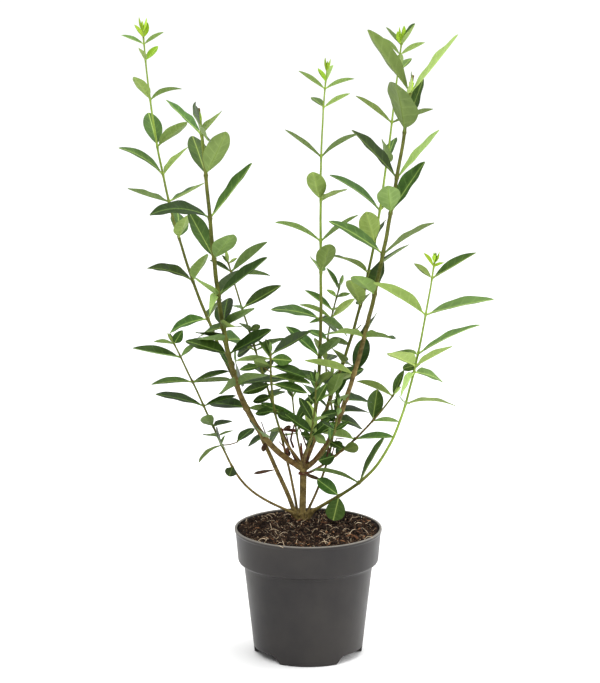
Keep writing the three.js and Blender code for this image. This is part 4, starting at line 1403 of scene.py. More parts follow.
@dataclass(frozen=True)
class LeafHabit:
    """How leaves differ from each other, past their lengths and directions."""

    fold: float = 0.24
    fold_chance: float = 0.10
    wave: float = 0.04
    wave_chance: float = 0.03
    droop: float = 0.01
    droop_chance: float = 0.03
    twist_chance: float = 0.12
    blunt: float = 0.4
    blunt_low: float = 0.95
    blunt_chance: float = 0.15
    low_below: float = 300.0
    low_range: float = 120.0
    short_below: float = 1.4
    short_length: float = 40.0
    calming: float = 0.7
    young_fold: float = 0.5
    fresh_below: float = 0.72
    young_below: float = 0.45
    dark_low: float = 0.9
    dark_high: float = 0.2
    dark_from: float = 230.0
    dark_to: float = 560.0

    def row(self, leaf: Leaf, tint: Tint, dice: Dice) -> tuple[Array | Place | float, ...]:
        """Draws how one leaf differs.

        Args:
            leaf: the leaf.
            tint: how old it looks.
            dice: its chances.

        Returns:
            What the leaf tree needs for it: its root, direction, upper side, size, form, hang
            and how blunt it is.
        """
        low = clamp((self.low_below - leaf.root[2]) / self.low_range, 0, 1)
        short = clamp(self.short_below - leaf.length / self.short_length, 0, 1) * leaf.age
        small = max(low, short)
        calm = (1 - self.calming * small) * leaf.age
        fold = self.fold + dice.spread(self.fold_chance) + self.young_fold * (1 - leaf.age) ** 2
        wave = (self.wave + dice.spread(self.wave_chance)) * calm
        droop = (self.droop + dice.spread(self.droop_chance)) * calm
        twist = dice.spread(self.twist_chance) * calm
        phase = dice.roll() * 2 * math.pi
        blunt = self.blunt + (self.blunt_low - self.blunt) * small + dice.spread(self.blunt_chance)
        return (leaf.root, leaf.out, leaf.up, (leaf.length, leaf.width, leaf.bend), (fold, wave, phase),
                (droop, twist, float(tint.value)), clamp(blunt * leaf.age, 0, 1))


class LeafTree(GeometryTree):
    """The Geometry Nodes tree that bends a blade for each point it is given."""

    ROOT = "leaf_root"
    OUT = "leaf_out"
    UP = "leaf_up"
    SIZE = "leaf_size"
    FORM = "leaf_form"
    HANG = "leaf_hang"
    BLUNT = "leaf_blunt"
    WAVES = 2.6
    WAVE_SKEW = 0.9
    HANG_FROM = 0.45
    HANG_RATE = 1.8
    TWIST_ABOUT = 0.35
    FOLD_CURVE = 1.25
    FOLD_LEVEL = 0.5
    FULL_LENGTH = 42.0
    THICKEST = 1.1

    def __init__(self, finishes: Finishes) -> None:
        """Builds the blade and lays the tree: blades at the points, bent into place and dressed.

        Args:
            finishes: the materials.
        """
        super().__init__("Leaf spray", {"Blade": "Object", "Waves": "Float"})
        self.blade = BladeShape().make()
        blade = self.add("GeometryNodeObjectInfo", {"Object": self.given["Blade"]})
        placed = self.add("GeometryNodeInstanceOnPoints", {
            "Points": self.given["Geometry"], "Instance": blade.outputs["Geometry"]})
        whole = self.add("GeometryNodeRealizeInstances", {"Geometry": placed.outputs[0]})
        dressed = self.add("GeometryNodeSetPosition", {"Geometry": whole.outputs[0],
                                                       "Position": self._position()}).outputs[0]
        tint = self._parts(self.HANG)[2]
        part = self.attribute(BladeShape.PART)
        for (age, side), material in finishes.leaves.items():
            both = self.add("FunctionNodeBooleanMath", {0: self._is(tint, age), 1: self._is(part, side)},
                            operation="AND").outputs[0]
            dressed = self.add("GeometryNodeSetMaterial", {
                "Geometry": dressed, "Selection": both, "Material": material}).outputs[0]
        self.feed(self.result, dressed)

    def _is(self, value: Socket, option: Enum) -> Socket:
        """Returns whether a number stands for an option."""
        return self.add("FunctionNodeCompare", {"A": value, "B": float(option.value), "Epsilon": 0.2},
                        data_type="FLOAT", operation="EQUAL").outputs[0]

    def _parts(self, name: str) -> tuple[Socket, ...]:
        """Returns the three numbers kept in a vector attribute."""
        return self.split(self.attribute(name, "FLOAT_VECTOR"))

    def _position(self) -> Socket:
        """Works out where a blade's vertex goes, in metres.

        Returns:
            The socket with the position.
        """
        calc, scaled = self.math, self.scaled
        t, across, off = self._parts(BladeShape.PLACE)
        pointed, stalk, round_ended = self._parts(BladeShape.EDGE)
        share = self.add("ShaderNodeMix", {0: self.attribute(self.BLUNT), 2: pointed, 3: round_ended},
                         data_type="FLOAT").outputs[0]
        length, width, bend = self._parts(self.SIZE)
        fold, wave, phase = self._parts(self.FORM)
        droop, twist, _ = self._parts(self.HANG)
        root, out, up = (self.attribute(name, "FLOAT_VECTOR") for name in (self.ROOT, self.OUT, self.UP))
        side = self.vector("CROSS_PRODUCT", out, up)
        # The spine: an arc, with the tip hanging a little more
        angle = calc("MULTIPLY", bend, t)
        sine, cosine = calc("SINE", angle), calc("COSINE", angle)
        reach = calc("DIVIDE", length, bend)
        along = calc("MULTIPLY", reach, sine)
        drop = calc("MULTIPLY", reach, calc("SUBTRACT", 1.0, cosine))
        beyond = calc("MAXIMUM", calc("SUBTRACT", t, self.HANG_FROM), 0.0)
        curve = calc("POWER", calc("MULTIPLY", beyond, self.HANG_RATE), 2.0)
        hang = calc("MULTIPLY", droop, length, curve)
        fall = calc("MULTIPLY", calc("ADD", drop, hang), -1.0)
        # The cross section: folded, curved, waved at the margin and twisted along the blade
        normal = self.vector("ADD", scaled(up, cosine), scaled(out, sine))
        turn = calc("MULTIPLY", twist, calc("SUBTRACT", t, self.TWIST_ABOUT))
        turn_sine, turn_cosine = calc("SINE", turn), calc("COSINE", turn)
        level = self.vector("ADD", scaled(side, turn_cosine), scaled(normal, turn_sine))
        raised = self.vector("SUBTRACT", scaled(normal, turn_cosine), scaled(side, turn_sine))
        half = calc("ADD", calc("MULTIPLY", width, share), stalk)
        from_rib = calc("ABSOLUTE", across)
        flat = calc("MULTIPLY", across, half, calc("COSINE", fold))
        slope = calc("SUBTRACT", calc("POWER", from_rib, self.FOLD_CURVE), self.FOLD_LEVEL)
        rise = calc("MULTIPLY", slope, half, calc("SINE", fold))
        waves = calc("MULTIPLY", t, calc("MULTIPLY", self.given["Waves"], 2 * math.pi))
        beat = calc("ADD", waves, phase, calc("MULTIPLY", across, self.WAVE_SKEW))
        ripple = calc("MULTIPLY", wave, half, calc("SINE", beat), calc("POWER", from_rib, 2.0))
        thick = calc("MINIMUM", calc("DIVIDE", length, self.FULL_LENGTH), self.THICKEST)
        lifted = calc("ADD", rise, ripple, calc("MULTIPLY", off, thick))
        place = self.vector("ADD", root, scaled(out, along), scaled(up, fall), scaled(level, flat),
                            scaled(raised, lifted))
        return scaled(place, MM)

    def spray(self, name: str, leaves: Sequence[Leaf], tints: Sequence[Tint], habit: LeafHabit,
              dice: Dice) -> Piece:
        """Bends a blade for each leaf.

        Args:
            name: the new piece's name.
            leaves: the leaves.
            tints: how old each looks.
            habit: how they differ.
            dice: their chances.

        Returns:
            The new piece.
        """
        rows = [habit.row(leaf, tint, dice) for leaf, tint in zip(leaves, tints)]
        names = (self.ROOT, self.OUT, self.UP, self.SIZE, self.FORM, self.HANG, self.BLUNT)
        values = {key: np.array(column, float) for key, column in zip(names, zip(*rows))}
        points = mesh_object(f"points_{name}", values[self.ROOT], attributes=values)
        return self.run(points, name, Blade=self.blade, Waves=self.WAVES)


@dataclass
class Spray:
    """The leaves of one shoot, with the small ones at its tip."""

    limb: Limb
    leaves: list[Leaf]
    habit: LeafHabit = field(default_factory=LeafHabit)
    tip_pairs: tuple[Place, ...] = ((1.5, 13.5, 24.0), (0.0, 10.0, 13.0), (-0.6, 5.0, 8.0))
    stub_pairs: tuple[Place, ...] = ((15.0, 15.0, 14.0), (12.0, 10.0, 20.0))
    tip_slimness: float = 0.38
    fresh_shoots: tuple[str, ...] = ("right_green",)
    fresh_above: float = 250.0
    bright_tips: tuple[str, ...] = ("left_tall", "centre_tall", "right_back", "right_green")
    light_shoots: tuple[str, ...] = (*bright_tips, "right_low", "centre_back")
    fresh_share: float = 0.6
    lightening: float = 0.5
    turn_chance: float = 12.0
    lift_chance: float = 6.0
    size_chance: float = 0.15
    tip_bend: float = -18.0
    tip_seed: int = 500
    look_seed: int = 900

    def tip_leaves(self) -> Iterator[Leaf]:
        """Makes the small pairs round a growing tip, or below the cut of a pruned one.

        Returns:
            The leaves, crosswise pair on pair.
        """
        limb = self.limb
        dice = Dice(limb.shoot.seed + self.tip_seed)
        stem = limb.tangent(limb.length)
        pairs = self.stub_pairs if limb.shoot.cut else self.tip_pairs
        for i, (below, length, lift) in enumerate(pairs):
            root = limb.point(limb.length) - stem * below
            for half in range(2):
                turn = limb.shoot.turn + 90 * (i + 1) + 180 * half + dice.spread(self.turn_chance)
                angle = math.radians(turn)
                side = squared(np.array([math.cos(angle), math.sin(angle), 0.0]), stem)
                rise = math.radians(lift + dice.spread(self.lift_chance))
                out = math.cos(rise) * stem + math.sin(rise) * side
                size = length * (1 + dice.spread(self.size_chance))
                yield Leaf(root, out, squared(-side, out), size, size * self.tip_slimness,
                           math.radians(self.tip_bend), 0.0)

    def _tint(self, leaf: Leaf, draw: float) -> Tint:
        """Says how old a leaf looks.

        Args:
            leaf: the leaf.
            draw: its chance, 0 to 1.

        Returns:
            Its tint.
        """
        shoot, habit, height = self.limb.shoot, self.habit, leaf.root[2]
        share = leaf.length / shoot.leaf
        if shoot.cut and leaf.age == 0:
            return Tint.YOUNG
        if shoot.name in self.bright_tips and leaf.age < 1:
            if share < habit.young_below:
                return Tint.YOUNG
            if share < habit.fresh_below:
                return Tint.FRESH
        if shoot.name in self.fresh_shoots and height > self.fresh_above and draw < self.fresh_share:
            return Tint.FRESH
        high = clamp((height - habit.dark_from) / (habit.dark_to - habit.dark_from), 0, 1)
        dark = habit.dark_low + (habit.dark_high - habit.dark_low) * high
        if shoot.name in self.light_shoots:
            dark *= self.lightening
        return Tint.DARK if draw < dark else Tint.MATURE

    def make(self, tree: LeafTree) -> Piece:
        """Bends every leaf of the shoot.

        Args:
            tree: the leaf tree.

        Returns:
            The finished piece.
        """
        name = self.limb.shoot.name
        dice = Dice(self.limb.shoot.seed + self.look_seed)
        leaves = [*self.leaves, *self.tip_leaves()]
        tints = [self._tint(leaf, dice.roll()) for leaf in leaves]
        piece = tree.spray(f"foliage_{name}", leaves, tints, self.habit, dice)
        return finish_piece(piece, "foliage", [f"leaves_{name}"])


class ReliefTree(GeometryTree):
    """The Geometry Nodes tree that roughens a skin along its normals by a stretched noise."""

    INPUTS = {"Height": "Float", "Scale": "Float", "Stretch": "Float", "Detail": "Float"}

    def __init__(self, name: str, material: Finish) -> None:
        """Builds the tree.

        Args:
            name: the tree's name.
            material: what the skin is made of.
        """
        super().__init__(name, self.INPUTS)
        skin, height = self._skin()
        place = self.add("GeometryNodeInputPosition").outputs[0]
        squeeze = self.add("ShaderNodeCombineXYZ", {"X": 1.0, "Y": 1.0, "Z": self.given["Stretch"]})
        rough = self.add("ShaderNodeTexNoise", {
            "Vector": self.vector("MULTIPLY", place, squeeze.outputs[0]), "Scale": self.given["Scale"],
            "Detail": self.given["Detail"]})
        level = self.math("MULTIPLY", self.math("SUBTRACT", rough.outputs["Fac"], 0.5), 2 * MM)
        normal = self.add("GeometryNodeInputNormal").outputs[0]
        offset = self.scaled(normal, self.math("MULTIPLY", level, height))
        moved = self.add("GeometryNodeSetPosition", {"Geometry": skin, "Offset": offset})
        self.dress(moved.outputs[0], material)

    def _skin(self) -> tuple[Socket, Socket]:
        """Returns the skin and how high its relief stands, in millimetres."""
        return self.given["Geometry"], self.given["Height"]


class StemTree(ReliefTree):
    """The Geometry Nodes tree that gives centre lines their round, knotted bark."""

    INPUTS = {"Sides": "Int", **ReliefTree.INPUTS}
    SIDES = 12
    FULL_RELIEF = 2.5

    def _skin(self) -> tuple[Socket, Socket]:
        """Lays the nodes that turn centre lines into tubes.

        Returns:
            The tubes, and how high their relief stands, which is less on thin ones.
        """
        lines = self.add("GeometryNodeMeshToCurve", {"Mesh": self.given["Geometry"]})
        ring = self.add("GeometryNodeCurvePrimitiveCircle", {"Resolution": self.given["Sides"],
                                                             "Radius": MM}, mode="RADIUS")
        thick = self.attribute(CentreLines.THICK)
        tube = self.add("GeometryNodeCurveToMesh", {
            "Curve": lines.outputs[0], "Profile Curve": ring.outputs[0], "Scale": thick,
            "Fill Caps": True})
        share = self.math("MINIMUM", thick, self.FULL_RELIEF)
        return tube.outputs[0], self.math("MULTIPLY", self.given["Height"], share)


@dataclass
class CentreLines:
    """Several centre lines with their thickness and colour, gathered for one tree."""

    THICK = "stem_thickness"
    TONE = "stem_tone"
    RED = "stem_red"

    rows: list[tuple[Array, float, float, float]] = field(default_factory=list)
    edges: list[tuple[int, int]] = field(default_factory=list)

    def add(self, points: Sequence[Array], thick: Sequence[float], tone: Spread | float,
            red: Spread | float) -> None:
        """Adds one line.

        Args:
            points: its points in millimetres.
            thick: its radius at each, in millimetres.
            tone: how green it is, 0 to 1, at each or all along.
            red: how reddish it is, 0 to 1, at each or all along.
        """
        first = len(self.rows)
        colours = [np.broadcast_to(value, len(points)) for value in (tone, red)]
        self.rows += zip(points, thick, *colours)
        self.edges += [(i, i + 1) for i in range(first, len(self.rows) - 1)]

    def make(self, name: str) -> Piece:
        """Makes the object that a stem tree reads.

        Args:
            name: its name.

        Returns:
            The object.
        """
        points, *values = map(np.array, zip(*self.rows))
        labels = (self.THICK, self.TONE, self.RED)
        return mesh_object(name, points, edges=self.edges, attributes=dict(zip(labels, values)))


@dataclass
class Stem:
    """The bark of one shoot: its stem with knots, side twigs, buds and a stub or a soft tip.

    Each row of a stub or tip tells how far it lies past the last leaf, its thickness as a share
    of the stem's, how green it is and how reddish. Each row of a bud tells its place from foot to
    tip, its thickness as a share and how reddish it is.
    """

    limb: Limb
    step: float = 1.6
    fewest: int = 8
    knot: float = 0.32
    knot_length: float = 2.0
    wander: float = 0.35
    wander_length: float = 26.0
    wander_apart: Spread = (0.0, 17.3, 41.9)
    wander_seed: float = 3.7
    straight_foot: float = 20.0
    tone_spread: float = 0.18
    stub: tuple[Spread, ...] = ((4.0, 1.02, 0.0, 0.3), (4.4, 0.8, 0.0, 0.0))
    soft_tip: tuple[Spread, ...] = ((1.2, 0.7, 1.0, 0.0), (2.0, 0.25, 1.0, 0.0))
    bud: tuple[Place, ...] = ((0.0, 0.7, 0.25), (0.35, 1.0, 0.3), (0.62, 0.85, 0.35),
                              (0.85, 0.5, 0.4), (1.0, 0.12, 0.4))
    bud_length: float = 2.6
    bud_radius: float = 0.75
    bud_tone: float = 0.35
    twig_radius: float = 0.72
    twig_taper: float = 0.8
    twig_sag: float = -0.06
    twig_tone: float = 0.3
    twig_steps: int = 9
    red: float = 0.25
    red_foot: float = 0.5
    red_length: float = 34.0
    red_feet: tuple[str, ...] = ("right_front",)

    def _knots(self, s: float) -> float:
        """Returns how much thicker the stem is at arc length s for its leaf nodes."""
        near = min(abs(s - node) for node in self.limb.node_arcs())
        return self.knot * math.exp(-(near / self.knot_length) ** 2)

    def _tone(self, s: float) -> float:
        """Says how green the stem is.

        Args:
            s: the arc length from its foot.

        Returns:
            Its tone, 0 where it is brown, 0.5 where olive and 1 where green.
        """
        shoot = self.limb.shoot
        return 0.5 * sum(clamp(0.5 + (s / self.limb.length - share) / self.tone_spread, 0, 1)
                         for share in (shoot.olive, shoot.green))

    def _red(self, s: float) -> float:
        """Says how reddish the stem is, which only those that grow from the fork are.

        Args:
            s: the arc length from its foot.

        Returns:
            How reddish, 0 to 1.
        """
        if self.limb.point(0)[2] < FORK[2]:
            return 0.0
        red = self.red_foot if self.limb.shoot.name in self.red_feet else self.red
        return red * math.exp(-(s / self.red_length) ** 2)

    def _wandered(self, s: float) -> Array:
        """Finds the stem's middle, a little off its smooth course.

        Args:
            s: the arc length from its foot.

        Returns:
            The point.
        """
        limb = self.limb
        free = clamp(s / self.straight_foot, 0, 1)
        own = limb.shoot.seed * self.wander_seed
        course = [noise.noise(Vector((s / self.wander_length, own, apart)))
                  for apart in self.wander_apart]
        return limb.point(s) + np.array(course) * self.wander * float(limb.radius(s)) * free

    def _main_line(self, lines: CentreLines) -> None:
        """Adds the stem itself, from the trunk to its stub or soft tip.

        Args:
            lines: the lines to add to.
        """
        limb = self.limb
        steps = max(self.fewest, int(limb.length / self.step))
        rows = [(self._wandered(s), float(limb.radius(s)) * (1 + self._knots(s)), self._tone(s),
                 self._red(s)) for s in np.linspace(0, limb.length, steps)]
        end, thick, *_ = rows[-1]
        stem = limb.tangent(limb.length)
        rows += [(end + stem * beyond, thick * share, tone, red)
                 for beyond, share, tone, red in (self.stub if limb.shoot.cut else self.soft_tip)]
        lines.add(*zip(*rows))

    def _buds(self, lines: CentreLines, leaves: Sequence[Leaf]) -> None:
        """Adds the bud that sits above each leaf's stalk.

        Args:
            lines: the lines to add to.
            leaves: the shoot's leaves.
        """
        tone = max(self._tone(0.5 * self.limb.length), self.bud_tone)
        along, shares, red = zip(*self.bud)
        thick = [self.bud_radius * share for share in shares]
        for leaf in leaves:
            # A bud starts at the stalk's upper side and stands off it towards the shoot's tip
            away = leaf.out - leaf.out[2] * 0.2 * leaf.up
            start = leaf.root + 0.3 * leaf.up
            above = leaf.up * (1 if leaf.up[2] > 0 else -1)
            aim = unit(0.75 * leaf.out + 0.9 * above + 0.2 * away)
            size = self.bud_length * (0.5 + 0.5 * leaf.age)
            lines.add([start + aim * size * share for share in along], thick, tone, red)

    def _side_twigs(self, lines: CentreLines, leaves: Sequence[Leaf]) -> None:
        """Adds the bare twigs that carry some of the leaves.

        Args:
            lines: the lines to add to.
            leaves: the shoot's leaves.
        """
        for leaf in leaves:
            if leaf.foot is None:
                continue
            way = leaf.root - leaf.foot
            sag = np.array([0.0, 0.0, self.twig_sag * np.linalg.norm(way)])
            points = [leaf.foot + way * t + sag * math.sin(math.pi * t)
                      for t in np.linspace(0, 1, self.twig_steps)]
            thick = np.linspace(self.twig_radius, self.twig_radius * self.twig_taper, self.twig_steps)
            lines.add(points, thick, self.twig_tone, self.twig_tone)

    def make(self, tree: StemTree, leaves: Sequence[Leaf]) -> Piece:
        """Makes the shoot's bark.

        Args:
            tree: the stem tree.
            leaves: the shoot's leaves.

        Returns:
            The finished piece.
        """
        name = self.limb.shoot.name
        lines = CentreLines()
        self._main_line(lines)
        self._side_twigs(lines, leaves)
        self._buds(lines, leaves)
        piece = tree.run(lines.make(f"lines_{name}"), f"shoot_{name}", Sides=tree.SIDES, Height=0.10,
                         Scale=520.0, Stretch=0.3, Detail=3.0)
        return finish_piece(piece, "shoot_bark", [f"stem_{name}", f"leaves_{name}"])


@dataclass(frozen=True)
class OldWood:
    """The shrub's older inside: dead twigs, dry leaves and a few green ones.

    Places are (right, up, towards the viewer) from the fork, in the front view. One dark twig, a ring
    round the trunk just below the fork, is a painted shadow.
    """

    twigs: tuple[tuple[float, tuple[Place, ...]], ...] = (
        (0.80, ((0, 4, 2), (-1.7, 18, 4), (-2.4, 26.4, 5))),
        (0.72, ((-3, 3, 1), (-9, 13, 2), (-16, 26, 3), (-23, 42, 2))),
        (0.55, ((-8, 8, -2), (-13.6, 19.5, -3), (-18, 37, -4))),
        (0.42, ((-14, 13, 3), (-19, 20.5, 5), (-25, 28, 7))),
        (1.15, ((-8, 38.5, 0), (-14, 39.4, 1), (-22, 39.8, 2))),
        (0.75, ((-10, 21, -4), (-13, 29, -3), (-11, 38, -2), (-8.6, 47, -2))),
        (0.50, ((24, 12, -4), (26, 20, -4), (25.8, 34.6, -3))),
        (0.45, ((29, 13, -6), (31, 19.5, -5), (34, 31, -4), (42, 30, -2))),
        (0.42, ((26, 16, -3), (24.5, 24, -1), (22.7, 19.5, 1), (20, 22.4, 2), (18, 20, 2))),
        (0.45, ((-32, 20, 3), (-39.3, 37, 5), (-43, 48, 6))),
        (0.95, ((3, 3, 2), (4.5, 11, 4), (4, 17, 5))),
        # Painted shadow: this dark ring round the trunk below the fork stands where the trunk is only
        # shaded
        (1.00, ((-4.2, -5, 1), (-1, -5.6, 3.6), (2.5, -5.2, 3.4), (4, -4.6, 1))),
        (0.50, ((5, 18, 42), (-2, 38, 44), (-7.5, 48.6, 45))),
        (0.50, ((7, 24, 50), (2, 42, 46), (-3.4, 52.7, 42))),
    )
    leaves: tuple[tuple[Tint, Place, Place, float], ...] = (
        (Tint.DRY, (-30, -1.5, 3), (-20.7, -3.2, 4), 4.0),
        (Tint.DRY, (-15.5, 23, 4), (-1.5, -10, 3), 5.5),
        (Tint.DRY, (-17.5, 21, 3), (4, -8, 2), 4.5),
        (Tint.DRY, (-37.5, 27, 5), (-5, -9, 2), 6.0),
        (Tint.DRY, (9.5, 33, 6), (3.5, 6, 2), 6.0),
        (Tint.DRY, (-1, -4.5, 5), (17, -6.5, 5), 4.5),
        (Tint.DRY, (24, 24, -2), (3, -8, 3), 4.0),
        (Tint.DRY, (-21, 39.5, 3), (8, 4, 2), 4.5),
        (Tint.MATURE, (19.2, 83.4, 8), (-28.7, -29.7, 22), 12.0),
        (Tint.MATURE, (-3.4, 52.7, 42), (-40, 14, 8), 11.0),
        (Tint.DARK, (-7.5, 48.6, 45), (-17.4, 8.5, 6), 10.0),
        (Tint.MATURE, (33, 72, 2), (10.5, 32, 4), 12.0),
        (Tint.FRESH, (117.5, 107, 76), (-17, -4, 6), 9.0),
    )
    habit: LeafHabit = LeafHabit(fold=0.5, wave=0.08, blunt=0.5)
    arch: float = 35.0
    sides: int = 8
    steps: int = 6
    taper: tuple[float, float] = (1.7, 1.05)
    seed: int = 77
    tilt_chance: float = 0.6

    def _place(self, offset: Sequence[float]) -> Array:
        """Turns a place in the front view into a direction or offset in the frame."""
        right, up, toward = offset
        return right * FRONT_RIGHT + up * FRONT_UP + toward * FRONT_TOWARD

    def _twigs(self, tree: StemTree) -> None:
        """Draws the dead twigs, and the dark ring round the trunk below the fork that paints a shadow.

        Args:
            tree: the stem tree of dead bark.
        """
        lines = CentreLines()
        for radius, offsets in self.twigs:
            knots = np.array([FORK + self._place(offset) for offset in offsets])
            at = np.linspace(0, len(knots) - 1, self.steps * len(knots))
            points = np.column_stack([np.interp(at, range(len(knots)), axis) for axis in knots.T])
            points[1:-1] = 0.25 * points[:-2] + 0.5 * points[1:-1] + 0.25 * points[2:]
            lines.add(points, radius * np.linspace(*self.taper, len(points)), 0.0, 1.0)
        piece = tree.run(lines.make("lines_dead"), "dead_twigs", Sides=self.sides, Height=0.2,
                         Scale=600.0, Stretch=0.4, Detail=3.0)
        finish_piece(piece, "bark", [])

    def _leaves(self, tree: LeafTree) -> None:
        """Draws the leaves.

        Args:
            tree: the leaf tree.
        """
        dice = Dice(self.seed)
        leaves = []
        for _, root, reach, width in self.leaves:
            chord = self._place(reach)
            span = float(np.linalg.norm(chord))
            along = chord / span
            tilt = self.tilt_chance * dice.spread(1) * FRONT_RIGHT
            facing = unit(FRONT_TOWARD - along * (along @ FRONT_TOWARD) + tilt)
            leaves.append(Leaf(FORK + self._place(root), along, squared(facing, along), span, width,
                               math.radians(self.arch)))
        tints = [tint for tint, *_ in self.leaves]
        finish_piece(tree.spray("inner_leaves", leaves, tints, self.habit, dice), "foliage", [])

    def make(self, twigs: StemTree, leaves: LeafTree) -> None:
        """Draws both.

        Args:
            twigs: the stem tree of dead bark.
            leaves: the leaf tree.
        """
        self._twigs(twigs)
        self._leaves(leaves)


@dataclass
class Trunk:
    """The short trunk with its flare, the feet of the boughs and the old wood of the fork."""

    limbs: Sequence[Limb]
    radius: float = 3.4
    flare_radius: float = 4.8
    flare_height: float = 7.0
    flare_depth: float = 2.0
    fork_radius: float = 3.9
    fork_swelling: float = 4.0
    below: float = 7.0
    sides: int = 24
    steps: int = 48
    foot_step: float = 2.0
    foot_sides: int = 12
    overlap: float = 3.0
    grip: float = 0.35
    grip_length: float = 6.0
    buttress_radius: float = 2.3
    buttress_end: float = 1.1
    buttress_reach: float = 10.0
    buttress_steps: int = 8
    voxel: float = 0.55
    smoothing: int = 6

    def _tube(self, points: Sequence[Array], radii: Sequence[float],
              sides: int) -> tuple[Array, list[Face]]:
        """Makes one closed tube.

        Args:
            points: its centre line.
            radii: its radius at each point.
            sides: how many sides it has.

        Returns:
            Its vertices and faces.
        """
        points = np.array(points)
        ways = np.gradient(points, axis=0)
        # The rings start from a guide that stands well off the tube's own way
        level = np.abs(unit(points[-1] - points[0])[0]) > 0.7
        guide = np.array([0.0, 1.0, 0.0] if level else [1.0, 0.0, 0.0])
        angles = np.linspace(0, 2 * np.pi, sides, endpoint=False)
        rows = []
        for point, way, radius in zip(points, ways, radii):
            way = unit(way)
            first = squared(guide, way)
            ring = np.cos(angles)[:, None] * first + np.sin(angles)[:, None] * np.cross(way, first)
            rows.append(point + radius * ring)
        return np.concatenate(rows), shell_faces(len(rows), sides)

    def _bole(self) -> tuple[Array, list[Face]]:
        """Makes the leaning stem, flared at the peat and swelling to the fork.

        Returns:
            Its vertices and faces.
        """
        foot = TRUNK_FOOT - np.array([0, 0, self.below])
        height = FORK[2] - foot[2]
        points, radii = [], []
        for t in np.linspace(0, 1, self.steps):
            rise = max(height * t - self.below, -self.flare_depth)
            flare = (self.flare_radius - self.radius) * math.exp(-rise / self.flare_height)
            swell = (self.fork_radius - self.radius) * t ** self.fork_swelling
            points.append(foot + (FORK - foot) * t)
            radii.append(self.radius + flare + swell)
        return self._tube(points, radii, self.sides)

    def _parts(self) -> Iterator[tuple[Array, list[Face]]]:
        """Makes the tubes that grow together into the trunk.

        Returns:
            The bole, then each bough's foot, and the buttress of each that springs from the peat.
        """
        yield self._bole()
        below = TRUNK_FOOT - np.array([0, 0, self.below])
        for limb in self.limbs:
            places = np.arange(0, limb.shoot.fused + self.overlap + 0.1, self.foot_step)
            radii = [float(limb.radius(s)) * (1 + self.grip * math.exp(-s / self.grip_length))
                     for s in places]
            yield self._tube([limb.point(s) for s in places], radii, self.foot_sides)
            if limb.point(0)[2] < FORK[2]:
                top = limb.point(self.buttress_reach)
                end = float(limb.radius(self.buttress_reach)) * self.buttress_end
                shares = np.linspace(0, 1, self.buttress_steps)
                radii = np.linspace(self.buttress_radius, end, self.buttress_steps)
                yield self._tube([below + (top - below) * t for t in shares], radii, self.foot_sides)

    def make(self, tree: ReliefTree) -> Piece:
        """Joins the tubes, melts them together and gives them their bark.

        Args:
            tree: the relief tree of old bark.

        Returns:
            The finished piece.
        """
        vertices, faces, count = [], [], 0
        for places, quads in self._parts():
            vertices.append(places)
            faces += [tuple(v + count for v in quad) for quad in quads]
            count += len(places)
        lump = mesh_object("trunk_lump", np.concatenate(vertices), faces)
        melt = lump.modifiers.new("melt", "REMESH")
        melt.mode = "VOXEL"
        melt.voxel_size = self.voxel * MM
        ease = lump.modifiers.new("ease", "SMOOTH")
        ease.iterations = self.smoothing
        ease.factor = 0.5
        piece = tree.run(lump, "trunk_bark", Height=0.55, Scale=330.0, Stretch=0.22, Detail=4.0)
        return finish_piece(piece, "bark", ["trunk"])


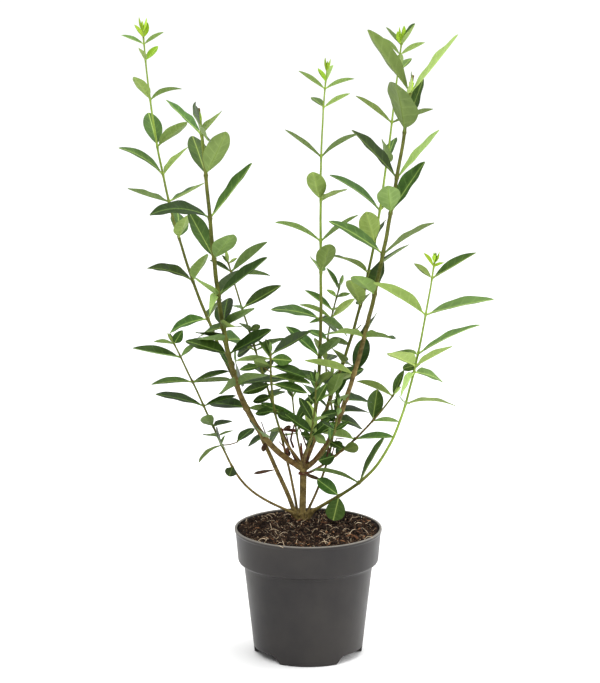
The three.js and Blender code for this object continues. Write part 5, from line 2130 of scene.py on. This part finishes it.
@dataclass
class Pot:
    """The moulded nursery pot, turned from its profile, with three feet between drain channels."""

    rim: float = RIM_RADIUS
    height: float = POT_HEIGHT
    profile: tuple[Place, ...] = (
        (55.0, 0.0, 1.0), (65.5, 93.0, 2.0), (66.6, 95.6, 1.4), (70.6, 97.2, 0.8), (71.5, 98.8, 0.8),
        (74.0, 128.0, 1.2), (75.0, 129.3, 0.7), (75.0, 132.0, 0.9), (72.5, 132.0, 0.9),
        (72.2, 128.0, 1.0), (69.7, 100.4, 1.2), (67.6, 98.9, 1.0), (63.7, 95.0, 2.0), (53.4, 9.0, 1.0),
    )
    underside: Spread = (0.5, 8.0, 15.0, 20.0, 21.4, 21.8, 22.2, 22.6, 27.0, 33.0, 39.0, 45.0, 50.0,
                         52.5)
    floor: Spread = (45.0, 30.0, 15.0, 0.5)
    floor_height: float = 9.0
    inside_radius: float = 53.5
    inside_above: float = 5.0
    pad: float = 22.0
    pad_step: float = 0.8
    channel_height: float = 8.0
    channel_half: float = 29.0
    channel_slope: float = 9.0
    channels: Spread = (-30.0, 90.0, 210.0)
    foot_blend: float = 12.0
    segments: int = 200
    fillet_steps: int = 4
    wall_step: float = 7.0
    warp: float = 0.25
    warp_turn: float = 0.6
    crisp: float = 35.0

    def _rounded(self) -> list[tuple[float, float]]:
        """Rounds the profile's corners and divides its long walls.

        Returns:
            The radius and height of each point, from the foot up and down the inside.
        """
        corners = [np.array(p[:2]) for p in self.profile]
        radii = [p[2] for p in self.profile]
        before = [np.array([self.underside[-1], 0.0]), *corners[:-1]]
        after = [*corners[1:], np.array([self.floor[0], self.floor_height])]
        course: list[Array] = []
        for corner, radius, last, following in zip(corners, radii, before, after):
            back, ahead = last - corner, following - corner
            near = min(radius, 0.45 * np.linalg.norm(back), 0.45 * np.linalg.norm(ahead))
            start, end = corner + unit(back) * near, corner + unit(ahead) * near
            if course:
                gap = np.linalg.norm(start - course[-1])
                count = int(gap / self.wall_step)
                course += [course[-1] + (start - course[-1]) * i / (count + 1)
                           for i in range(1, count + 1)]
            for t in np.linspace(0, 1, self.fillet_steps + 1):
                course.append((1 - t) ** 2 * start + 2 * t * (1 - t) * corner + t * t * end)
        return [(float(r), float(z)) for r, z in course]

    def _angles(self) -> Array:
        """Spreads the turning angles, closer at the channels' sides.

        Returns:
            The angles in degrees, -180 to 180.
        """
        angles = list(np.linspace(-180, 180, self.segments, endpoint=False))
        for centre in self.channels:
            for side in (-1, 1):
                angles += [centre + side * (self.channel_half - self.channel_slope * t)
                           for t in np.linspace(-0.1, 1.1, 13)]
        return np.unique(np.round([(a + 180) % 360 - 180 for a in angles], 3))

    def _lift(self, angle: float) -> float:
        """Shapes the drain channels.

        Args:
            angle: the angle about the pot, in degrees.

        Returns:
            How high the channel's roof is there, 0 between the channels.
        """
        for centre in self.channels:
            off = abs((angle - centre + 180) % 360 - 180)
            t = clamp((self.channel_half - off) / self.channel_slope, 0, 1)
            if t > 0:
                return self.channel_height * t * t * (3 - 2 * t)
        return 0.0

    def make(self, plastic: Finish) -> Piece:
        """Turns the pot.

        Args:
            plastic: its material.

        Returns:
            The finished piece.
        """
        rows = [(r, 0.0, True) for r in self.underside]
        rows += [(r, z, False) for r, z in self._rounded()]
        rows += [(r, self.floor_height, False) for r in self.floor]
        angles = self._angles()
        lifts = np.array([self._lift(a) for a in angles])
        turn = np.radians(angles)
        (foot, _, _), (step, step_height, _), *_ = self.profile
        slope = (step - foot) / step_height
        points = []
        for r, z, under in rows:
            share = clamp((r - self.pad) / self.pad_step + 0.5, 0, 1) if under else 1.0
            inside = r < self.inside_radius and not under and z > self.inside_above
            fade = 0.0 if inside else clamp(1 - z / self.foot_blend, 0, 1)
            raised = z + lifts * share * fade
            wide = r + (raised - z) * slope * (0 if under else 1)
            high = clamp(z / self.height, 0, 1)
            wide = wide * (1 + self.warp / self.rim * np.cos(2 * turn + self.warp_turn) * high)
            points.append(np.column_stack([wide * np.cos(turn), wide * np.sin(turn), raised]))
        faces = shell_faces(len(rows), len(angles))
        pot = mesh_object("nursery_pot", np.concatenate(points), faces)
        pot.data.materials.append(plastic)
        pot.data.shade_smooth()
        self._keep_edges(pot.data)
        return finish_piece(pot, "pot_plastic", ["pot"])

    def _keep_edges(self, mesh: bpy.types.Mesh) -> None:
        """Marks the pot's crisp edges so that flat faces stay flat.

        Args:
            mesh: the pot's mesh.
        """
        shape = bmesh.new()
        shape.from_mesh(mesh)
        limit = math.radians(self.crisp)
        for edge in shape.edges:
            if len(edge.link_faces) == 2 and edge.calc_face_angle(0.0) > limit:
                edge.smooth = False
        shape.to_mesh(mesh)
        shape.free()


@dataclass
class Litter:
    """One kind of small thing that lies on the peat.

    Its size is the least and the most, its shape the share of that along each axis. Lean is how
    much more of it lies to the right, or to the left below 0, and flat is 1 where it lies level.
    """

    name: str
    material: Finish
    count: int
    size: tuple[float, float]
    shape: Place
    seed: int
    flat: float = 0.0
    sink: float = 0.25
    faces: int = 1
    lean: float = 0.0
    places: tuple[tuple[float, float], ...] = ()
    curl: bool = False


class LitterTree(GeometryTree):
    """The Geometry Nodes tree that lays one shape at each of its points."""

    TURN = "litter_turn"
    SIZE = "litter_size"

    def __init__(self, name: str, material: Finish) -> None:
        """Builds the tree.

        Args:
            name: the tree's name.
            material: what the things are made of.
        """
        super().__init__(name, {"Shape": "Object", "Size": "Float"})
        shape = self.add("GeometryNodeObjectInfo", {"Object": self.given["Shape"]})
        scale = self.scaled(self.attribute(self.SIZE, "FLOAT_VECTOR"), self.given["Size"])
        laid = self.add("GeometryNodeInstanceOnPoints", {
            "Points": self.given["Geometry"], "Instance": shape.outputs["Geometry"],
            "Rotation": self.attribute(self.TURN, "FLOAT_VECTOR"), "Scale": scale})
        self.dress(laid.outputs[0], material, smooth=False)


@dataclass
class Peat:
    """The peat: its lumpy top and the crumbs, chips, fibres and grit that lie on it."""

    finishes: Finishes
    edge: float = 71.4
    edge_height: float = 129.8
    plateau: float = 44.0
    top: float = 130.6
    bottom: float = 112.0
    bottom_radius: float = 69.0
    rings: int = 54
    segments: int = 190
    lumps: tuple[tuple[float, float], ...] = ((22.0, 1.5), (9.0, 1.1), (3.6, 0.8), (1.6, 0.35))
    edge_curve: float = 1.5
    edge_depth: float = 3.0
    pole: float = 0.4
    trunk_heap: float = 1.2
    heap_reach: float = 16.0
    crumb_roughness: float = 0.45
    crumb_grain: float = 3.1
    fibre_steps: int = 14
    fibre_sides: int = 5
    litter_edge: float = 1.5
    small_share: float = 2.2
    stretch_chance: float = 0.35

    def height(self, x: float, y: float) -> float:
        """Finds how high the peat's top is.

        Args:
            x: the place to the right.
            y: the place to the back.

        Returns:
            The height.
        """
        r = math.hypot(x, y)
        fall = clamp((r - self.plateau) / (self.edge - self.plateau), 0, 1)
        level = self.top - (self.top - self.edge_height) * fall ** self.edge_curve
        for length, size in self.lumps:
            level += size * noise.noise(Vector((x / length, y / length, length)))
        near = math.hypot(x - TRUNK_FOOT[0], y - TRUNK_FOOT[1])
        return level + self.trunk_heap * math.exp(-(near / self.heap_reach) ** 2)

    def _bed(self) -> Piece:
        """Makes the peat itself.

        Returns:
            The finished piece.
        """
        turn = np.linspace(0, 2 * np.pi, self.segments, endpoint=False)
        below = ((0.5, self.bottom), (self.bottom_radius, self.bottom),
                 (self.edge, self.edge_height - self.edge_depth))
        rings = [[(r * math.cos(a), r * math.sin(a), z) for a in turn] for r, z in below]
        for r in np.linspace(self.edge, self.pole, self.rings):
            ring = [(r * math.cos(a), r * math.sin(a)) for a in turn]
            rings.append([(x, y, self.height(x, y)) for x, y in ring])
        faces = shell_faces(len(rings), self.segments)
        bed = mesh_object("peat_bed", np.concatenate(rings), faces)
        bed.data.materials.append(self.finishes.peat)
        return finish_piece(bed, "peat", ["soil"])

    def _crumb(self, kind: Litter) -> Piece:
        """Makes the one shape that a kind of litter repeats.

        Args:
            kind: the kind.

        Returns:
            The shape, about 1 across.
        """
        if kind.curl:
            return self._thread(kind)
        shape = bmesh.new()
        bmesh.ops.create_icosphere(shape, subdivisions=kind.faces, radius=0.5)
        for vertex in shape.verts:
            place = vertex.co * self.crumb_grain + Vector((kind.seed, 0, 0))
            push = 1 + self.crumb_roughness * noise.noise(place)
            vertex.co = Vector([c * s * push for c, s in zip(vertex.co, kind.shape)])
        mesh = bpy.data.meshes.new(f"shape_{kind.name}")
        shape.to_mesh(mesh)
        shape.free()
        return linked(mesh.name, mesh)

    def _thread(self, kind: Litter) -> Piece:
        """Makes one curly fibre.

        Args:
            kind: the kind of litter that repeats it.

        Returns:
            The shape, about 1 long.
        """
        angles = np.linspace(0, 2 * np.pi, self.fibre_sides, endpoint=False)
        ring = np.column_stack([np.zeros(self.fibre_sides), np.cos(angles), np.sin(angles)])
        rows = []
        for t in np.linspace(0, 1, self.fibre_steps):
            # It curls two ways, more to the side than up, and thins to both ends
            middle = np.array([t - 0.5, 0.22 * math.sin(4.3 * t + kind.seed), 0.12 * math.sin(7.1 * t)])
            thin = kind.shape[1] * (0.15 + math.sin(math.pi * (0.08 + 0.84 * t)))
            rows.append(middle + thin * ring)
        return mesh_object(f"shape_{kind.name}", np.concatenate(rows) / MM,
                           shell_faces(self.fibre_steps, self.fibre_sides))

    def _lay(self, kind: Litter) -> Piece:
        """Lays one kind of litter.

        Args:
            kind: the kind.

        Returns:
            The finished piece.
        """
        dice = np.random.default_rng(kind.seed)
        places = []
        while len(places) < kind.count:
            r, a = (self.edge - self.litter_edge) * math.sqrt(dice.random()), dice.random() * 2 * math.pi
            x, y = r * math.cos(a), r * math.sin(a)
            aside = clamp(1 + kind.lean * (x / self.edge) - abs(kind.lean), 0, 1)
            if dice.random() < 0.5 + 0.5 * aside:
                places.append((x, y))
        places += kind.places
        count = len(places)
        least, most = kind.size
        size = least + (most - least) * dice.random(count) ** self.small_share
        stretch = size[:, None] * (1 + self.stretch_chance * (dice.random((count, 3)) - 0.5))
        turn = dice.random((count, 3)) * 2 * np.pi
        for axis in (0, 1):
            turn[:, axis] = (dice.random(count) - 0.5) * 2 * np.pi * (1 - kind.flat)
        points = [(x, y, self.height(x, y) + s * kind.sink) for (x, y), s in zip(places, size)]
        source = mesh_object(f"points_{kind.name}", points, attributes={
            LitterTree.TURN: turn, LitterTree.SIZE: stretch})
        tree = LitterTree(f"Lay {kind.name}", kind.material)
        shape = self._crumb(kind)
        piece = tree.run(source, kind.name, Shape=shape, Size=MM)
        bpy.data.objects.remove(shape)
        return finish_piece(piece, "peat", [])

    def make(self) -> None:
        """Makes the bed and everything that lies on it."""
        self._bed()
        look = self.finishes
        for kind in (
            Litter("peat_crumbs", look.crumb, 2600, (0.8, 3.4), (1.0, 0.8, 0.7), 3),
            Litter("peat_lumps", look.peat, 420, (2.2, 5.6), (1.0, 0.8, 0.6), 5, faces=2, sink=0.12),
            Litter("bark_chips", look.chip, 150, (1.8, 7.0), (1.0, 0.34, 0.2), 7, flat=0.85,
                   sink=0.12, faces=2, lean=0.9),
            Litter("pale_husks", look.husk, 230, (0.9, 4.2), (1.0, 0.4, 0.2), 9, flat=0.6, sink=0.12,
                   faces=2, lean=0.3),
            Litter("root_fibres", look.fibre, 210, (4.0, 21.0), (1.0, 0.02, 0.02), 11, flat=0.9,
                   sink=0.05, curl=True, lean=-0.3, places=((20.0, -38.0), (4.0, -50.0), (-35.0, 20.0))),
            Litter("white_grit", look.grit, 5, (1.0, 2.2), (1.0, 0.8, 0.7), 13, faces=2,
                   places=((54.0, 40.0), (56.0, 38.0), (55.0, 42.0))),
        ):
            self._lay(kind)


@dataclass
class Studio:
    """The pale floor, the soft lights and the camera at the photograph's angle."""

    floor_half: float = 6.0
    floor_height: float = -0.3
    camera_place: Place = (-0.0084, -4.0, 1.264)
    camera_tilt: float = 76.81
    lens: float = 214.5
    sensor: float = 36.0
    horizon: float = 0.32
    zenith: float = 1.45
    side: float = 0.45
    lights: tuple[tuple[str, Place, float, float], ...] = (
        ("key", (-0.9, -2.2, 2.5), 1.0, 44.0),
        ("fill", (1.9, -1.7, 1.2), 1.6, 12.0),
        ("top", (0.2, 0.6, 2.6), 1.8, 26.0),
        ("edge", (2.3, 0.4, 0.9), 1.4, 22.0),
    )
    aim: Place = (0.0, 0.0, 0.30)

    def make(self, floor: Finish) -> None:
        """Sets up the stage.

        Args:
            floor: the floor's material.
        """
        half = self.floor_half / MM
        corners = ((-half, -half), (half, -half), (half, half), (-half, half))
        plane = mesh_object("studio_floor", [(*corner, self.floor_height) for corner in corners],
                            [(0, 1, 2, 3)])
        plane.data.materials.append(floor)
        for name, place, size, watts in self.lights:
            lamp = bpy.data.lights.new(name, "AREA")
            lamp.size = size
            lamp.energy = watts
            made = linked(name, lamp)
            made.location = place
            made.rotation_euler = (Vector(self.aim) - Vector(place)).to_track_quat("-Z", "Y").to_euler()
        self._sky()
        lens = bpy.data.cameras.new("camera")
        lens.sensor_width = self.sensor
        lens.lens = self.lens
        camera = linked("camera", lens)
        camera.location = self.camera_place
        camera.rotation_euler = (math.radians(self.camera_tilt), 0.0, 0.0)
        bpy.context.scene.camera = camera

    def _sky(self) -> None:
        """Lights the scene from all round, brighter from above and from the right."""
        world = bpy.data.worlds.new("soft_daylight")
        world.use_nodes = True
        wires = Wires(world.node_tree)
        right, _, up = wires.split(wires.add("ShaderNodeTexCoord").outputs["Generated"])
        glow = wires.range(up, to_low=self.horizon, to_high=self.zenith)
        back = world.node_tree.nodes["Background"]
        back.inputs["Color"].default_value = (1.0, 1.0, 1.0, 1.0)
        aside = wires.math("ADD", 1.0, wires.math("MULTIPLY", right, self.side))
        wires.feed(back.inputs["Strength"], wires.math("MULTIPLY", glow, aside))
        bpy.context.scene.world = world
        bpy.context.scene.view_settings.view_transform = "Standard"


def main() -> None:
    """Builds the shrub, its pot and the studio, and logs the counts of leaves and triangles."""
    logging.basicConfig(level=logging.INFO, format="%(message)s")
    finishes = Finishes()
    Studio().make(finishes.floor)
    growth = Growth(SHOOTS, PairRule())
    log.info("grew %d leaves on %d shoots", sum(map(len, growth.leaves)), len(growth.limbs))
    Pot().make(finishes.plastic)
    Peat(finishes).make()
    Trunk(growth.limbs).make(ReliefTree("Old bark", finishes.old_bark))
    stems = StemTree("Stems and buds", finishes.bark)
    sprays = LeafTree(finishes)
    for limb, leaves in zip(growth.limbs, growth.leaves):
        Stem(limb).make(stems, leaves)
        Spray(limb, leaves).make(sprays)
    OldWood().make(StemTree("Dead twigs", finishes.dead), sprays)
    bpy.data.objects.remove(sprays.blade)


if __name__ == "__main__":
    main()
